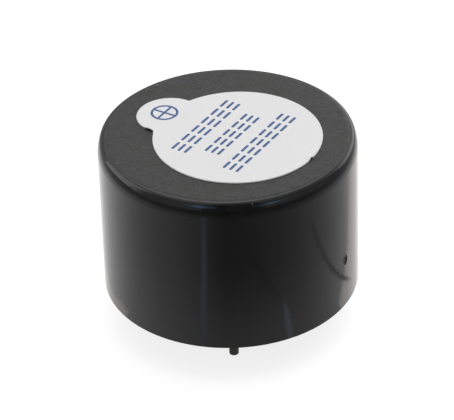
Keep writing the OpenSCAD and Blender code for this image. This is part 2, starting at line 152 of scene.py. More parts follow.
@dataclass
class Outline:
    """A half section, drawn as a chain of points with the finish of the strip that follows each.

    Attributes:
        points: Radius and height of each point.
        zones: Material index of the strip from each point to the next.
    """

    points: list[Point2] = field(default_factory=list)
    zones: list[int] = field(default_factory=list)

    def to(self, r: float, z: float, zone: int, rows: int = 1, guard: float = 0.0) -> None:
        """Draws a straight line from the last point.

        Args:
            r: Radius of its end.
            z: Height of its end.
            zone: Material index of the strip.
            rows: Number of mesh rows along it.
            guard: Width of a thin row at each end, which keeps the shading of corners off the flat.
        """
        if not self.points:
            self.points.append((r, z))
            return
        r0, z0 = self.points[-1]
        length = math.hypot(r - r0, z - z0)
        steps = [i / rows for i in range(1, rows)]
        if guard and guard < length / 3:
            steps = sorted(set([guard / length, 1 - guard / length] + steps))
        for t in steps + [1.0]:
            self.points.append((r0 + (r - r0) * t, z0 + (z - z0) * t))
            self.zones.append(zone)

    def arc(
        self, centre: Point2, radii: Point2, start: float, end: float, zone: int, rows: int = 8
    ) -> None:
        """Draws an elliptical arc, joined to the last point by a straight strip if they differ.

        Args:
            centre: Radius and height of its centre.
            radii: Its half widths along the radius and the height.
            start: First angle, in degrees from outwards, positive upwards.
            end: Last angle.
            zone: Material index of the strip.
            rows: Number of mesh rows along it.
        """
        for i, a in enumerate(spaced(math.radians(start), math.radians(end), rows)):
            p = (centre[0] + radii[0] * math.cos(a), centre[1] + radii[1] * math.sin(a))
            if i == 0 and self.points and math.dist(p, self.points[-1]) < TINY:
                continue
            if self.points:
                self.zones.append(zone)
            self.points.append(p)


@dataclass
class Mesh:
    """One piece under construction, in millimetres.

    Attributes:
        points: Its points.
        faces: Its faces.
        zones: Material index of each face.
    """

    points: list[Point3] = field(default_factory=list)
    faces: list[Face] = field(default_factory=list)
    zones: list[int] = field(default_factory=list)

    def add(self, points: Iterable[Point3], faces: Iterable[Sequence[int]], zone: int = 0) -> None:
        """Adds a patch.

        Args:
            points: Its points.
            faces: Its faces, which count from its own first point.
            zone: Their material index.
        """
        base = len(self.points)
        self.points.extend(points)
        for face in faces:
            self.faces.append(tuple(base + i for i in face))
            self.zones.append(zone)

    def add_tube(self, rings: Sequence[Sequence[Point3]]) -> None:
        """Adds a closed tube with flat ends.

        Args:
            rings: Rings of points along it, of the same number of points.
        """
        sides = len(rings[0])
        last = (len(rings) - 1) * sides
        ends = [tuple(reversed(range(sides))), tuple(range(last, last + sides))]
        self.add([p for ring in rings for p in ring], grid_faces(len(rings), sides, closed=True) + ends)

    def revolve(self, outline: Outline, azimuths: Sequence[float], closed: bool) -> None:
        """Turns a half section about the Z axis.

        Args:
            outline: The half section. A point on the axis becomes one shared point.
            azimuths: Angles of the mesh columns in degrees, once round.
            closed: Whether the last point joins the first.
        """
        rows, columns = [], len(azimuths)
        turns = [toward(a) for a in azimuths]
        for r, z in outline.points:
            if r < TINY:
                rows.append([len(self.points)] * columns)
                self.points.append((0.0, 0.0, z))
            else:
                rows.append(list(range(len(self.points), len(self.points) + columns)))
                self.points.extend((r * c, r * s, z) for c, s in turns)
        count = len(rows) if closed else len(rows) - 1
        zones = outline.zones + ([outline.zones[-1]] if closed else [])
        for i in range(count):
            low, high = rows[i], rows[(i + 1) % len(rows)]
            for j in range(columns):
                k = (j + 1) % columns
                face = [low[j], low[k], high[k], high[j]]
                ring = [v for n, v in enumerate(face) if v not in face[:n]]
                self.faces.append(tuple(ring))
                self.zones.append(zones[i])

    def move(self, shift: Callable[[Point3], Point3]) -> None:
        """Moves every point by a function of its place."""
        self.points = [shift(p) for p in self.points]

    def build(
        self, name: str, materials: Sequence[bpy.types.Material], sharp: float = 40.0
    ) -> bpy.types.Object:
        """Makes the Blender object, with its faces turned outwards and shaded smooth.

        Args:
            name: Name of the piece.
            materials: One for each zone.
            sharp: Edges that turn by more than this many degrees stay crisp.

        Returns:
            The new object, in the scene.
        """
        data = bpy.data.meshes.new(name)
        data.from_pydata([(x * MM, y * MM, z * MM) for x, y, z in self.points], [], self.faces)
        for material in materials:
            data.materials.append(material)
        data.polygons.foreach_set("material_index", self.zones)
        work = bmesh.new()
        work.from_mesh(data)
        bmesh.ops.recalc_face_normals(work, faces=work.faces)
        work.to_mesh(data)
        work.free()
        data.polygons.foreach_set("use_smooth", [True] * len(data.polygons))
        data.set_sharp_from_angle(angle=math.radians(sharp))
        return add_object(name, data)


# ---- Shader groups ----


@dataclass
class Wiring:
    """Adds and joins the nodes of one node tree.

    Attributes:
        tree: The tree that is being filled.
    """

    tree: bpy.types.NodeTree

    def add(self, kind: str, **settings: object) -> bpy.types.Node:
        """Adds a node and sets its properties.

        Args:
            kind: Blender's type name of the node.
            **settings: Properties of the node.

        Returns:
            The new node.
        """
        node = self.tree.nodes.new(kind)
        row, column = divmod(len(self.tree.nodes), NODES_PER_ROW)
        node.location = (column * NODE_STEP[0], -row * NODE_STEP[1])
        for key, value in settings.items():
            setattr(node, key, value)
        return node

    def join(self, source: bpy.types.NodeSocket, target: bpy.types.NodeSocket) -> None:
        """Links an output to an input."""
        self.tree.links.new(source, target)

    def fill(self, socket: bpy.types.NodeSocket, value: object) -> None:
        """Fills an input.

        Args:
            socket: The input.
            value: A socket to link, or a plain value to set.
        """
        if isinstance(value, bpy.types.NodeSocket):
            self.join(value, socket)
        else:
            socket.default_value = value

    def fill_all(self, sockets: bpy.types.NodeInputs, values: dict[str, object]) -> None:
        """Fills inputs by name."""
        for name, value in values.items():
            self.fill(sockets[name], value)

    def feed(self, node: bpy.types.Node, *values: object) -> bpy.types.NodeSocket:
        """Fills the first inputs of a node in order.

        Args:
            node: The node.
            *values: Sockets or plain values.

        Returns:
            The first output of the node.
        """
        for socket, value in zip(node.inputs, values):
            self.fill(socket, value)
        return node.outputs[0]

    def math(self, operation: str, *values: object) -> bpy.types.NodeSocket:
        """Returns the result of a Math node."""
        return self.feed(self.add("ShaderNodeMath", operation=operation), *values)

    def together(self, *values: object) -> bpy.types.NodeSocket:
        """Returns the vector with the given X, Y and Z."""
        return self.feed(self.add("ShaderNodeCombineXYZ"), *values)

    def apart(self, vector: bpy.types.NodeSocket) -> bpy.types.NodeOutputs:
        """Returns the outputs with the X, Y and Z of a vector."""
        return self.feed(self.add("ShaderNodeSeparateXYZ"), vector).node.outputs

    def ramp(self, value: bpy.types.NodeSocket, low: object, high: object) -> bpy.types.NodeSocket:
        """Returns 0 to 1, smoothly, as a value goes from low to high."""
        return self.feed(self.add("ShaderNodeMapRange", interpolation_type="SMOOTHSTEP"), value, low, high)

    def between(self, share: bpy.types.NodeSocket, low: float, high: float) -> bpy.types.NodeSocket:
        """Returns low to high, evenly, as a share goes from 0 to 1."""
        return self.feed(self.add("ShaderNodeMapRange"), share, 0.0, 1.0, low, high)

    def noise(
        self, place: bpy.types.NodeSocket, detail: float, rough: float = 0.55
    ) -> bpy.types.NodeSocket:
        """Adds a noise whose cells are one unit wide.

        Args:
            place: Where it is read.
            detail: Number of finer layers.
            rough: Strength of each finer layer.

        Returns:
            Its value.
        """
        node = self.add("ShaderNodeTexNoise")
        self.fill_all(node.inputs, {"Vector": place, "Scale": 1.0, "Detail": detail, "Roughness": rough})
        return node.outputs[0]

    def cells(self, place: bpy.types.NodeSocket, feature: str) -> bpy.types.NodeOutputs:
        """Adds a pattern of random cells that are one unit wide.

        Args:
            place: Where it is read.
            feature: Blender's name of the way in which distances are measured.

        Returns:
            Its outputs.
        """
        node = self.add("ShaderNodeTexVoronoi", feature=feature)
        self.fill_all(node.inputs, {"Vector": place, "Scale": 1.0})
        return node.outputs

    def mix(self, factor: object, first: object, second: object) -> bpy.types.NodeSocket:
        """Mixes two colours.

        Args:
            factor: Share of the second.
            first: The first colour.
            second: The second colour.

        Returns:
            The mixed colour.
        """
        node = self.add("ShaderNodeMix", data_type="RGBA")
        self.fill_all(node.inputs, {"Factor": factor, "A": first, "B": second})
        return node.outputs["Result"]

    def millimetres(self, size: object) -> bpy.types.NodeSocket:
        """Finds the place on the object, counted in cells.

        Args:
            size: Width of a cell, in millimetres.

        Returns:
            The place.
        """
        node = self.add("ShaderNodeVectorMath", operation="SCALE")
        self.join(self.add("ShaderNodeTexCoord").outputs["Object"], node.inputs[0])
        self.fill(node.inputs["Scale"], self.math("DIVIDE", 1.0 / MM, size))
        return node.outputs[0]


class GroupWiring(Wiring):
    """The wiring inside a shader group."""

    def __init__(self, tree: bpy.types.NodeTree) -> None:
        """Adds the nodes that bring the group's inputs and take its outputs."""
        super().__init__(tree)
        self.source, self.target = self.add("NodeGroupInput"), self.add("NodeGroupOutput")

    def given(self, name: str) -> bpy.types.NodeSocket:
        """Returns the value of an input of the group."""
        return self.source.outputs[name]

    def give(self, name: str, value: bpy.types.NodeSocket) -> None:
        """Sends a value to an output of the group."""
        self.join(value, self.target.inputs[name])


@dataclass(frozen=True)
class Port:
    """One socket of a shader group.

    Attributes:
        name: Its label.
        kind: Blender's socket type.
        value: Its default, where it has one.
    """

    name: str
    kind: str = "NodeSocketFloat"
    value: object = None


@dataclass
class ShaderGroup:
    """A node group that several materials place with their own values.

    Attributes:
        name: Its name.
        inputs: Its input sockets.
        outputs: Its output sockets.
        draw: Draws its inside.
        tree: Its node tree, once it is made.
    """

    name: str
    inputs: list[Port]
    outputs: list[Port]
    draw: Callable[[GroupWiring], None]
    tree: bpy.types.NodeTree | None = None

    def ready(self) -> bpy.types.NodeTree:
        """Makes the node tree at the first call.

        Returns:
            The node tree.
        """
        if self.tree is None:
            self.tree = bpy.data.node_groups.new(self.name, "ShaderNodeTree")
            for way, ports in (("INPUT", self.inputs), ("OUTPUT", self.outputs)):
                for port in ports:
                    socket = self.tree.interface.new_socket(port.name, in_out=way, socket_type=port.kind)
                    if port.value is not None:
                        socket.default_value = port.value
            self.draw(GroupWiring(self.tree))
        return self.tree

    def place(self, wiring: Wiring, **values: object) -> bpy.types.NodeOutputs:
        """Adds the group to a material.

        Args:
            wiring: The material's wiring.
            **values: Values of its inputs, by name in lower case.

        Returns:
            Its outputs there.
        """
        node = wiring.add("ShaderNodeGroup", node_tree=self.ready())
        for key, value in values.items():
            wiring.fill(node.inputs[key.capitalize()], value)
        return node.outputs


def draw_drift(w: GroupWiring) -> None:
    """Draws soft patches that run between two colours.

    Args:
        w: The group's wiring.
    """
    value = w.noise(w.millimetres(w.given("Size")), detail=4.0)
    half = w.math("DIVIDE", 0.5, w.given("Contrast"))
    value = w.ramp(value, w.math("SUBTRACT", 0.5, half), w.math("ADD", 0.5, half))
    w.give("Colour", w.mix(value, w.given("First"), w.given("Second")))
    w.give("Mask", value)


def draw_grain(w: GroupWiring) -> None:
    """Draws the fine pits and peaks of a spark-eroded or cast surface.

    Args:
        w: The group's wiring.
    """
    place = w.millimetres(w.given("Size"))
    pits = w.math("MULTIPLY", w.cells(place, "SMOOTH_F1")["Distance"], w.given("Pits"))
    w.give("Height", w.math("ADD", w.noise(place, detail=3.0, rough=0.6), pits))


def draw_lines(w: GroupWiring) -> None:
    """Draws streaks that run down a round wall, as a mould's polishing leaves them.

    Args:
        w: The group's wiring.
    """
    place = w.apart(w.millimetres(w.given("Size")))
    slow = w.math("DIVIDE", place["Z"], w.given("Length"))
    w.give("Height", w.noise(w.together(place["X"], place["Y"], slow), detail=3.0))


def draw_rings(w: GroupWiring) -> None:
    """Draws fine rings about the object's axis, as rolling and turning leave them.

    Args:
        w: The group's wiring.
    """
    place = w.apart(w.millimetres(w.given("Size")))
    squares = [w.math("MULTIPLY", place[axis], place[axis]) for axis in "XY"]
    slow = [w.math("DIVIDE", place[axis], w.given("Length")) for axis in "XY"]
    radius = w.math("SQRT", w.math("ADD", *squares))
    w.give("Height", w.noise(w.together(radius, *slow), detail=3.0))


def draw_specks(w: GroupWiring) -> None:
    """Draws a few small round specks, scattered at random: dust, and where a finish uses them so, painted
    glints.

    Args:
        w: The group's wiring.
    """
    cells = w.cells(w.millimetres(w.given("Spacing")), "F1")
    chance = w.feed(w.add("ShaderNodeSeparateColor"), cells["Color"]).node.outputs
    here = w.math("LESS_THAN", chance[0], w.given("Cover"))
    reach = w.math("MULTIPLY", w.given("Radius"), w.math("ADD", 0.4, chance[1]))
    beyond = w.ramp(cells["Distance"], w.math("MULTIPLY", reach, 0.5), reach)
    w.give("Mask", w.math("MULTIPLY", here, w.math("SUBTRACT", 1.0, beyond)))


COLOUR = "NodeSocketColor"
WHITE = (1.0, 1.0, 1.0, 1.0)
BLACK = (0.0, 0.0, 0.0, 1.0)
HEIGHT = [Port("Height")]

DRIFT = ShaderGroup(
    "Tone drift",
    [Port("First", COLOUR), Port("Second", COLOUR), Port("Size"), Port("Contrast", value=2.4)],
    [Port("Colour", COLOUR), Port("Mask")],
    draw_drift,
)
GRAIN = ShaderGroup("Fine grain", [Port("Size"), Port("Pits", value=0.5)], HEIGHT, draw_grain)
LINES = ShaderGroup("Draw lines", [Port("Size"), Port("Length", value=30.0)], HEIGHT, draw_lines)
RINGS = ShaderGroup("Turned rings", [Port("Size"), Port("Length", value=30.0)], HEIGHT, draw_rings)
SPECKS = ShaderGroup(
    "Dust and glint specks", [Port("Spacing"), Port("Radius"), Port("Cover")], [Port("Mask")], draw_specks
)


# ---- Finishes ----


class Relief(Enum):
    """What the fine relief of a surface looks like."""

    GRAIN = GRAIN
    LINES = LINES
    RINGS = RINGS


def grey(level: float) -> Colour:
    """Returns a neutral colour."""
    return (level, level, level)


def new_material(name: str) -> tuple[bpy.types.Material, Wiring, bpy.types.NodeInputs]:
    """Makes a material of one Principled shader.

    Args:
        name: Its name.

    Returns:
        The material, its wiring and the inputs of its shader.
    """
    material = bpy.data.materials.new(name)
    material.use_nodes = True
    return material, Wiring(material.node_tree), material.node_tree.nodes["Principled BSDF"].inputs


@dataclass(frozen=True)
class Finish:
    """The finish of one material. Colours are linear and sizes are in millimetres.

    Attributes:
        name: Name of the material.
        colour: Its main colour.
        other: The colour that it drifts towards.
        drift: Size of the patches of tone.
        roughness: Roughness of the smoothest and the dullest patches.
        metallic: 1 for bare metal.
        ior: Index of refraction.
        relief: Kind of fine relief.
        relief_size: Width of its cells.
        relief_height: Its height.
        dust_and_glints: Share of the speck cells that hold a speck: dust, and on the crown also painted
            glints of the grain.
        dust_and_glint_spacing: Width of a speck cell.
        dust_and_glint_radius: Radius of a speck, in speck cells.
        dust_and_glint_colour: Colour of the specks.
        dust_and_glint_roughness: Roughness of the specks.
        coat: Weight of a clear coat.
        soak: Weight of light that soaks in.
        soak_depth: How far it reaches.
    """

    name: str
    colour: Colour
    other: Colour
    drift: float = 3.0
    roughness: Point2 = (0.4, 0.5)
    metallic: float = 0.0
    ior: float = 1.5
    relief: Relief = Relief.GRAIN
    relief_size: float = 0.12
    relief_height: float = 0.002
    dust_and_glints: float = 0.0
    dust_and_glint_spacing: float = 1.2
    dust_and_glint_radius: float = 0.05
    dust_and_glint_colour: Colour = (0.30, 0.29, 0.27)
    dust_and_glint_roughness: float = 0.9
    coat: float = 0.0
    soak: float = 0.0
    soak_depth: float = 0.3

    def build(self) -> bpy.types.Material:
        """Makes the material.

        Returns:
            The new material.
        """
        material, w, shader = new_material(self.name)
        material.diffuse_color = (*self.colour, 1.0)
        tone = DRIFT.place(w, first=(*self.colour, 1.0), second=(*self.other, 1.0), size=self.drift)
        colour = self.tint(w, tone["Colour"])
        roughness = w.between(tone["Mask"], *self.roughness)
        # Pale specks: dust, and on the crown also painted glints.
        if self.dust_and_glints:
            specks = SPECKS.place(
                w, spacing=self.dust_and_glint_spacing, radius=self.dust_and_glint_radius, cover=self.dust_and_glints
            )["Mask"]
            colour = w.mix(specks, colour, (*self.dust_and_glint_colour, 1.0))
            roughness = w.math("MAXIMUM", roughness, w.math("MULTIPLY", specks, self.dust_and_glint_roughness))
        bump = w.add("ShaderNodeBump")
        distance = self.relief_height * MM
        w.fill_all(bump.inputs, {"Strength": 1.0, "Distance": distance, "Height": self.height(w)})
        values = {
            "Base Color": colour, "Roughness": roughness, "Normal": bump.outputs[0],
            "Metallic": self.metallic, "IOR": self.ior, "Coat Weight": self.coat,
        }
        if self.soak:
            values |= {"Subsurface Weight": self.soak, "Subsurface Scale": self.soak_depth * MM}
        w.fill_all(shader, values)
        return material

    def tint(self, w: Wiring, colour: bpy.types.NodeSocket) -> bpy.types.NodeSocket:
        """Returns the colour with the marks of this kind of finish. A plain finish has none."""
        return colour

    def height(self, w: Wiring) -> bpy.types.NodeSocket:
        """Returns the height of the fine relief, from about 0 to 1."""
        return self.relief.value.place(w, size=self.relief_size)["Height"]


@dataclass(frozen=True)
class WoundFinish(Finish):
    """Enamelled wire wound in close turns along Z.

    Attributes:
        turn_scale: Scale at which a band of Blender's wave texture is one unit wide.
        unevenness: How far the turns stray.
    """

    turn_scale: float = 0.314
    unevenness: float = 0.15

    def height(self, w: Wiring) -> bpy.types.NodeSocket:
        """Draws the rounded backs of the turns.

        Args:
            w: The material's wiring.

        Returns:
            Their height.
        """
        wave = w.add("ShaderNodeTexWave", wave_type="BANDS", bands_direction="Z", wave_profile="SIN")
        place = w.millimetres(self.relief_size)
        w.fill_all(wave.inputs, {"Vector": place, "Scale": self.turn_scale, "Distortion": self.unevenness})
        return wave.outputs["Fac"]


@dataclass(frozen=True)
class PolishedFinish(Finish):
    """A polished moulded face: draw lines that run down it, with a breath of fine grain.

    Attributes:
        grain_size: Width of the grain.
        grain: How much of the relief it makes.
    """

    grain_size: float = 0.16
    grain: float = 2.0

    def height(self, w: Wiring) -> bpy.types.NodeSocket:
        """Returns the lines and the grain on them."""
        fine = GRAIN.place(w, size=self.grain_size)["Height"]
        return w.math("MULTIPLY_ADD", fine, self.grain, super().height(w))


@dataclass(frozen=True)
class SparkFinish(Finish):
    """A moulded face with the grain of a spark-eroded mould, whose pits are darkened with painted shade.

    Attributes:
        pit_shade_size: Width of the pits.
        pit_shade: How much painted shade darkens the pits.
        pit_shade_range: Heights of the grain between which the painted shade sets in.
    """

    pit_shade_size: float = 0.22
    pit_shade: float = 0.7
    pit_shade_range: Point2 = (0.55, 1.05)

    def tint(self, w: Wiring, colour: bpy.types.NodeSocket) -> bpy.types.NodeSocket:
        """Returns the colour with painted shade in the pits."""
        # Painted shade: the pits of a grain pattern are darkened in the colour.
        pits = w.ramp(GRAIN.place(w, size=self.pit_shade_size)["Height"], *self.pit_shade_range)
        return w.mix(w.math("MULTIPLY", pits, self.pit_shade), colour, BLACK)


def sleeve(name: str, colour: Colour, other: Colour) -> Finish:
    """Returns the finish of a wire's plastic sleeve."""
    return Finish(
        name, colour, other, drift=0.9, roughness=(0.34, 0.44), relief_size=0.1, relief_height=0.003
    )


FINISHES: dict[str, Finish] = {
    # Spark-grained top: painted shade darkens the pits of its grain.
    "crown": SparkFinish(
        "Spark-grained case top", (0.0300, 0.0262, 0.0292), (0.0268, 0.0280, 0.0244), drift=1.1,
        # The crown's pale specks are dust together with painted glints of its grain.
        roughness=(0.52, 0.6), relief_size=0.16, relief_height=0.04, dust_and_glints=0.16, dust_and_glint_spacing=0.8,
        dust_and_glint_radius=0.07, dust_and_glint_colour=(0.075, 0.073, 0.070),
    ),
    "wall": PolishedFinish(
        "Polished case wall", (0.004, 0.0041, 0.0043), (0.006, 0.006, 0.0062), drift=4.0,
        roughness=(0.08, 0.13), ior=1.58, relief=Relief.LINES, relief_size=0.5, relief_height=0.002,
        dust_and_glints=0.05, dust_and_glint_spacing=1.8, dust_and_glint_radius=0.035,
    ),
    "rim": Finish(
        "Polished case rim", (0.006, 0.006, 0.0065), (0.010, 0.010, 0.0105), drift=1.5,
        roughness=(0.08, 0.12), ior=1.45, relief_size=0.4, relief_height=0.002, dust_and_glints=0.06,
        dust_and_glint_spacing=1.1, dust_and_glint_radius=0.05,
    ),
    "case_inside": Finish(
        "Moulded case inside", (0.018, 0.0175, 0.018), (0.026, 0.025, 0.0255), drift=3.0,
        roughness=(0.42, 0.52), relief_size=0.25, relief_height=0.006,
    ),
    "film": Finish(
        "Seal film", (0.80, 0.795, 0.80), (0.785, 0.78, 0.787), drift=2.6, roughness=(0.36, 0.44),
        relief_size=0.5, relief_height=0.003, ior=1.45, dust_and_glints=0.03, dust_and_glint_spacing=2.0, dust_and_glint_radius=0.02,
    ),
    "ink": Finish(
        "Blue print", (0.038, 0.093, 0.246), (0.047, 0.107, 0.272), drift=0.8, roughness=(0.42, 0.5),
        relief_size=0.2, relief_height=0.002,
    ),
    # Near black: the shade under the case is painted into the colour of a tinned pin.
    "pin": Finish(
        "Tinned pin darkened with painted shade", (0.036, 0.035, 0.033), (0.022, 0.021, 0.020), drift=0.7,
        roughness=(0.42, 0.55), metallic=0.8, relief=Relief.LINES, relief_size=0.06, relief_height=0.004,
    ),
    "lint": Finish(
        "Pale lint", (0.42, 0.41, 0.38), (0.30, 0.29, 0.27), drift=0.05, roughness=(0.8, 0.9),
        relief_size=0.03, relief_height=0.01,
    ),
    "brass": Finish(
        "Rolled brass", (0.62, 0.43, 0.17), (0.52, 0.34, 0.12), drift=3.5, roughness=(0.26, 0.38),
        metallic=1.0, relief=Relief.RINGS, relief_size=0.12, relief_height=0.004,
    ),
    "piezo": Finish(
        "Fired ceramic", (0.58, 0.54, 0.43), (0.50, 0.46, 0.36), drift=2.0, roughness=(0.6, 0.75),
        relief_size=0.08, relief_height=0.006,
    ),
    "electrode": Finish(
        "Fired silver", (0.72, 0.71, 0.68), (0.56, 0.54, 0.50), drift=1.6, roughness=(0.38, 0.5),
        metallic=0.85, relief_size=0.09, relief_height=0.008,
    ),
    "silicone": Finish(
        "Silicone bead", (0.70, 0.70, 0.65), (0.62, 0.62, 0.57), drift=1.4, roughness=(0.28, 0.4),
        ior=1.42, relief_size=0.6, relief_height=0.02, soak=0.3,
    ),
    "sleeve_red": sleeve("Red wire sleeve", (0.42, 0.020, 0.014), (0.34, 0.014, 0.010)),
    "sleeve_blue": sleeve("Blue wire sleeve", (0.016, 0.070, 0.34), (0.012, 0.052, 0.27)),
    "sleeve_black": sleeve("Black wire sleeve", grey(0.012), grey(0.022)),
    "solder": Finish(
        "Solder", (0.62, 0.63, 0.64), (0.46, 0.46, 0.47), drift=0.5, roughness=(0.2, 0.42), metallic=1.0,
        relief_size=0.25, relief_height=0.01,
    ),
    "laminate": Finish(
        "Paper laminate board", (0.46, 0.28, 0.10), (0.38, 0.22, 0.075), drift=1.2, roughness=(0.5, 0.62),
        relief_size=0.15, relief_height=0.01,
    ),
    "copper": Finish(
        "Copper track", (0.62, 0.27, 0.13), (0.46, 0.20, 0.11), drift=1.0, roughness=(0.3, 0.45),
        metallic=1.0, relief_size=0.1, relief_height=0.004,
    ),
    "moulding": Finish(
        "Epoxy moulding", (0.020, 0.020, 0.022), (0.030, 0.030, 0.032), drift=1.2, roughness=(0.5, 0.62),
        relief_size=0.08, relief_height=0.01,
    ),
    "lead": Finish(
        "Tinned lead", (0.55, 0.55, 0.54), (0.42, 0.42, 0.41), drift=0.6, roughness=(0.26, 0.4),
        metallic=1.0, relief_size=0.06, relief_height=0.003,
    ),
    "ferrite": Finish(
        "Ferrite drum", (0.034, 0.032, 0.029), (0.050, 0.048, 0.044), drift=0.8, roughness=(0.5, 0.66),
        relief_size=0.07, relief_height=0.01,
    ),
    "enamel": WoundFinish(
        "Enamelled winding", (0.48, 0.13, 0.035), (0.38, 0.09, 0.022), drift=1.0, roughness=(0.2, 0.3),
        metallic=0.6, relief_size=0.24, relief_height=0.05, coat=0.5,
    ),
    "diode_glass": Finish(
        "Amber diode glass", (0.62, 0.20, 0.050), (0.50, 0.15, 0.035), drift=0.9, roughness=(0.06, 0.1),
        relief_size=0.4, relief_height=0.004, coat=0.4,
    ),
    "chip": Finish(
        "Chip resistor", (0.018, 0.018, 0.020), (0.030, 0.030, 0.033), drift=0.5, roughness=(0.3, 0.42),
        relief_size=0.08, relief_height=0.004,
    ),
    "resin": Finish(
        "Potting resin", (0.010, 0.010, 0.011), (0.016, 0.016, 0.017), drift=2.5, roughness=(0.12, 0.24),
        relief_size=1.6, relief_height=0.03, dust_and_glints=0.04, dust_and_glint_spacing=1.4, dust_and_glint_radius=0.04,
    ),
}

NODE_FINISHES: dict[str, str] = {
    "diaphragm_plate": "brass",
    "piezo_ceramic": "piezo",
    "main_electrode": "electrode",
    "feedback_electrode": "electrode",
    "diaphragm_bond": "silicone",
    "main_lead": "sleeve_red",
    "feedback_lead": "sleeve_blue",
    "plate_lead": "sleeve_black",
    "sounder_solder": "solder",
    "circuit_board": "laminate",
    "board_tracks": "copper",
    "board_solder": "solder",
    "transistor_body": "moulding",
    "transistor_leads": "lead",
    "coil_core": "ferrite",
    "coil_winding": "enamel",
    "coil_leads": "lead",
    "diode_body": "diode_glass",
    "diode_leads": "lead",
    "resistor_bodies": "chip",
    "resistor_caps": "solder",
    "potting_resin": "resin",
}


@dataclass
class Palette:
    """Makes each finish once and hands it out.

    Attributes:
        made: Materials already made, by finish.
    """

    made: dict[str, bpy.types.Material] = field(default_factory=dict)

    def get(self, key: str) -> bpy.types.Material:
        """Makes a finish at the first call.

        Args:
            key: Its key in FINISHES.

        Returns:
            Its material.
        """
        if key not in self.made:
            self.made[key] = FINISHES[key].build()
        return self.made[key]


# ---- Case ----


class CupZone(IntEnum):
    """Material zones of the cup."""

    CROWN = 0
    RIM = 1
    WALL = 2
    INSIDE = 3


@dataclass(frozen=True)
class GateScar:
    """The mark low on the wall where the moulding broke off its gate: a rough pit with a stub and a lip.

    Attributes:
        angle: Its azimuth, in degrees.
        height: Height of its middle.
        half: Half its width and half its height.
        depth: Depth of the pit.
        unevenness: How much the depth varies, as a share of it.
        bumps: Bumps of the pit per millimetre.
        stub: Share of the depth that the stub in the middle fills.
        lip: Height of the lip.
        stub_edge: Where the stub begins to end, as a share of the mark's half size, like the next three.
        pit_edge: Where the pit begins to end.
        lip_place: Where the lip is highest.
        slope: Over how much each of them ends.
    """

    angle: float = -29.3
    height: float = 5.04
    half: Point2 = (0.42, 0.58)
    depth: float = 0.12
    unevenness: float = 0.3
    bumps: float = 9.0
    stub: float = 0.7
    lip: float = 0.012
    stub_edge: float = 0.1
    pit_edge: float = 0.7
    lip_place: float = 1.12
    slope: float = 0.3

    def dent(self, across: float, z: float) -> float:
        """Works out how far the wall is pushed in.

        Args:
            across: Distance along the wall from the middle of the mark.
            z: Height.

        Returns:
            The depth, which is below 0 on the lip.
        """
        reach = math.hypot(across / self.half[0], (z - self.height) / self.half[1])
        rough = self.unevenness * noise.noise(Vector((across * self.bumps, z * self.bumps, 3.0)))
        stub = self.stub * (1.0 - smooth_step((reach - self.stub_edge) / self.slope))
        inside = 1.0 - smooth_step((reach - self.pit_edge) / self.slope)
        depth = self.depth * (1.0 + rough - stub) * inside
        return depth - self.lip * bump_at(reach - self.lip_place, self.slope)


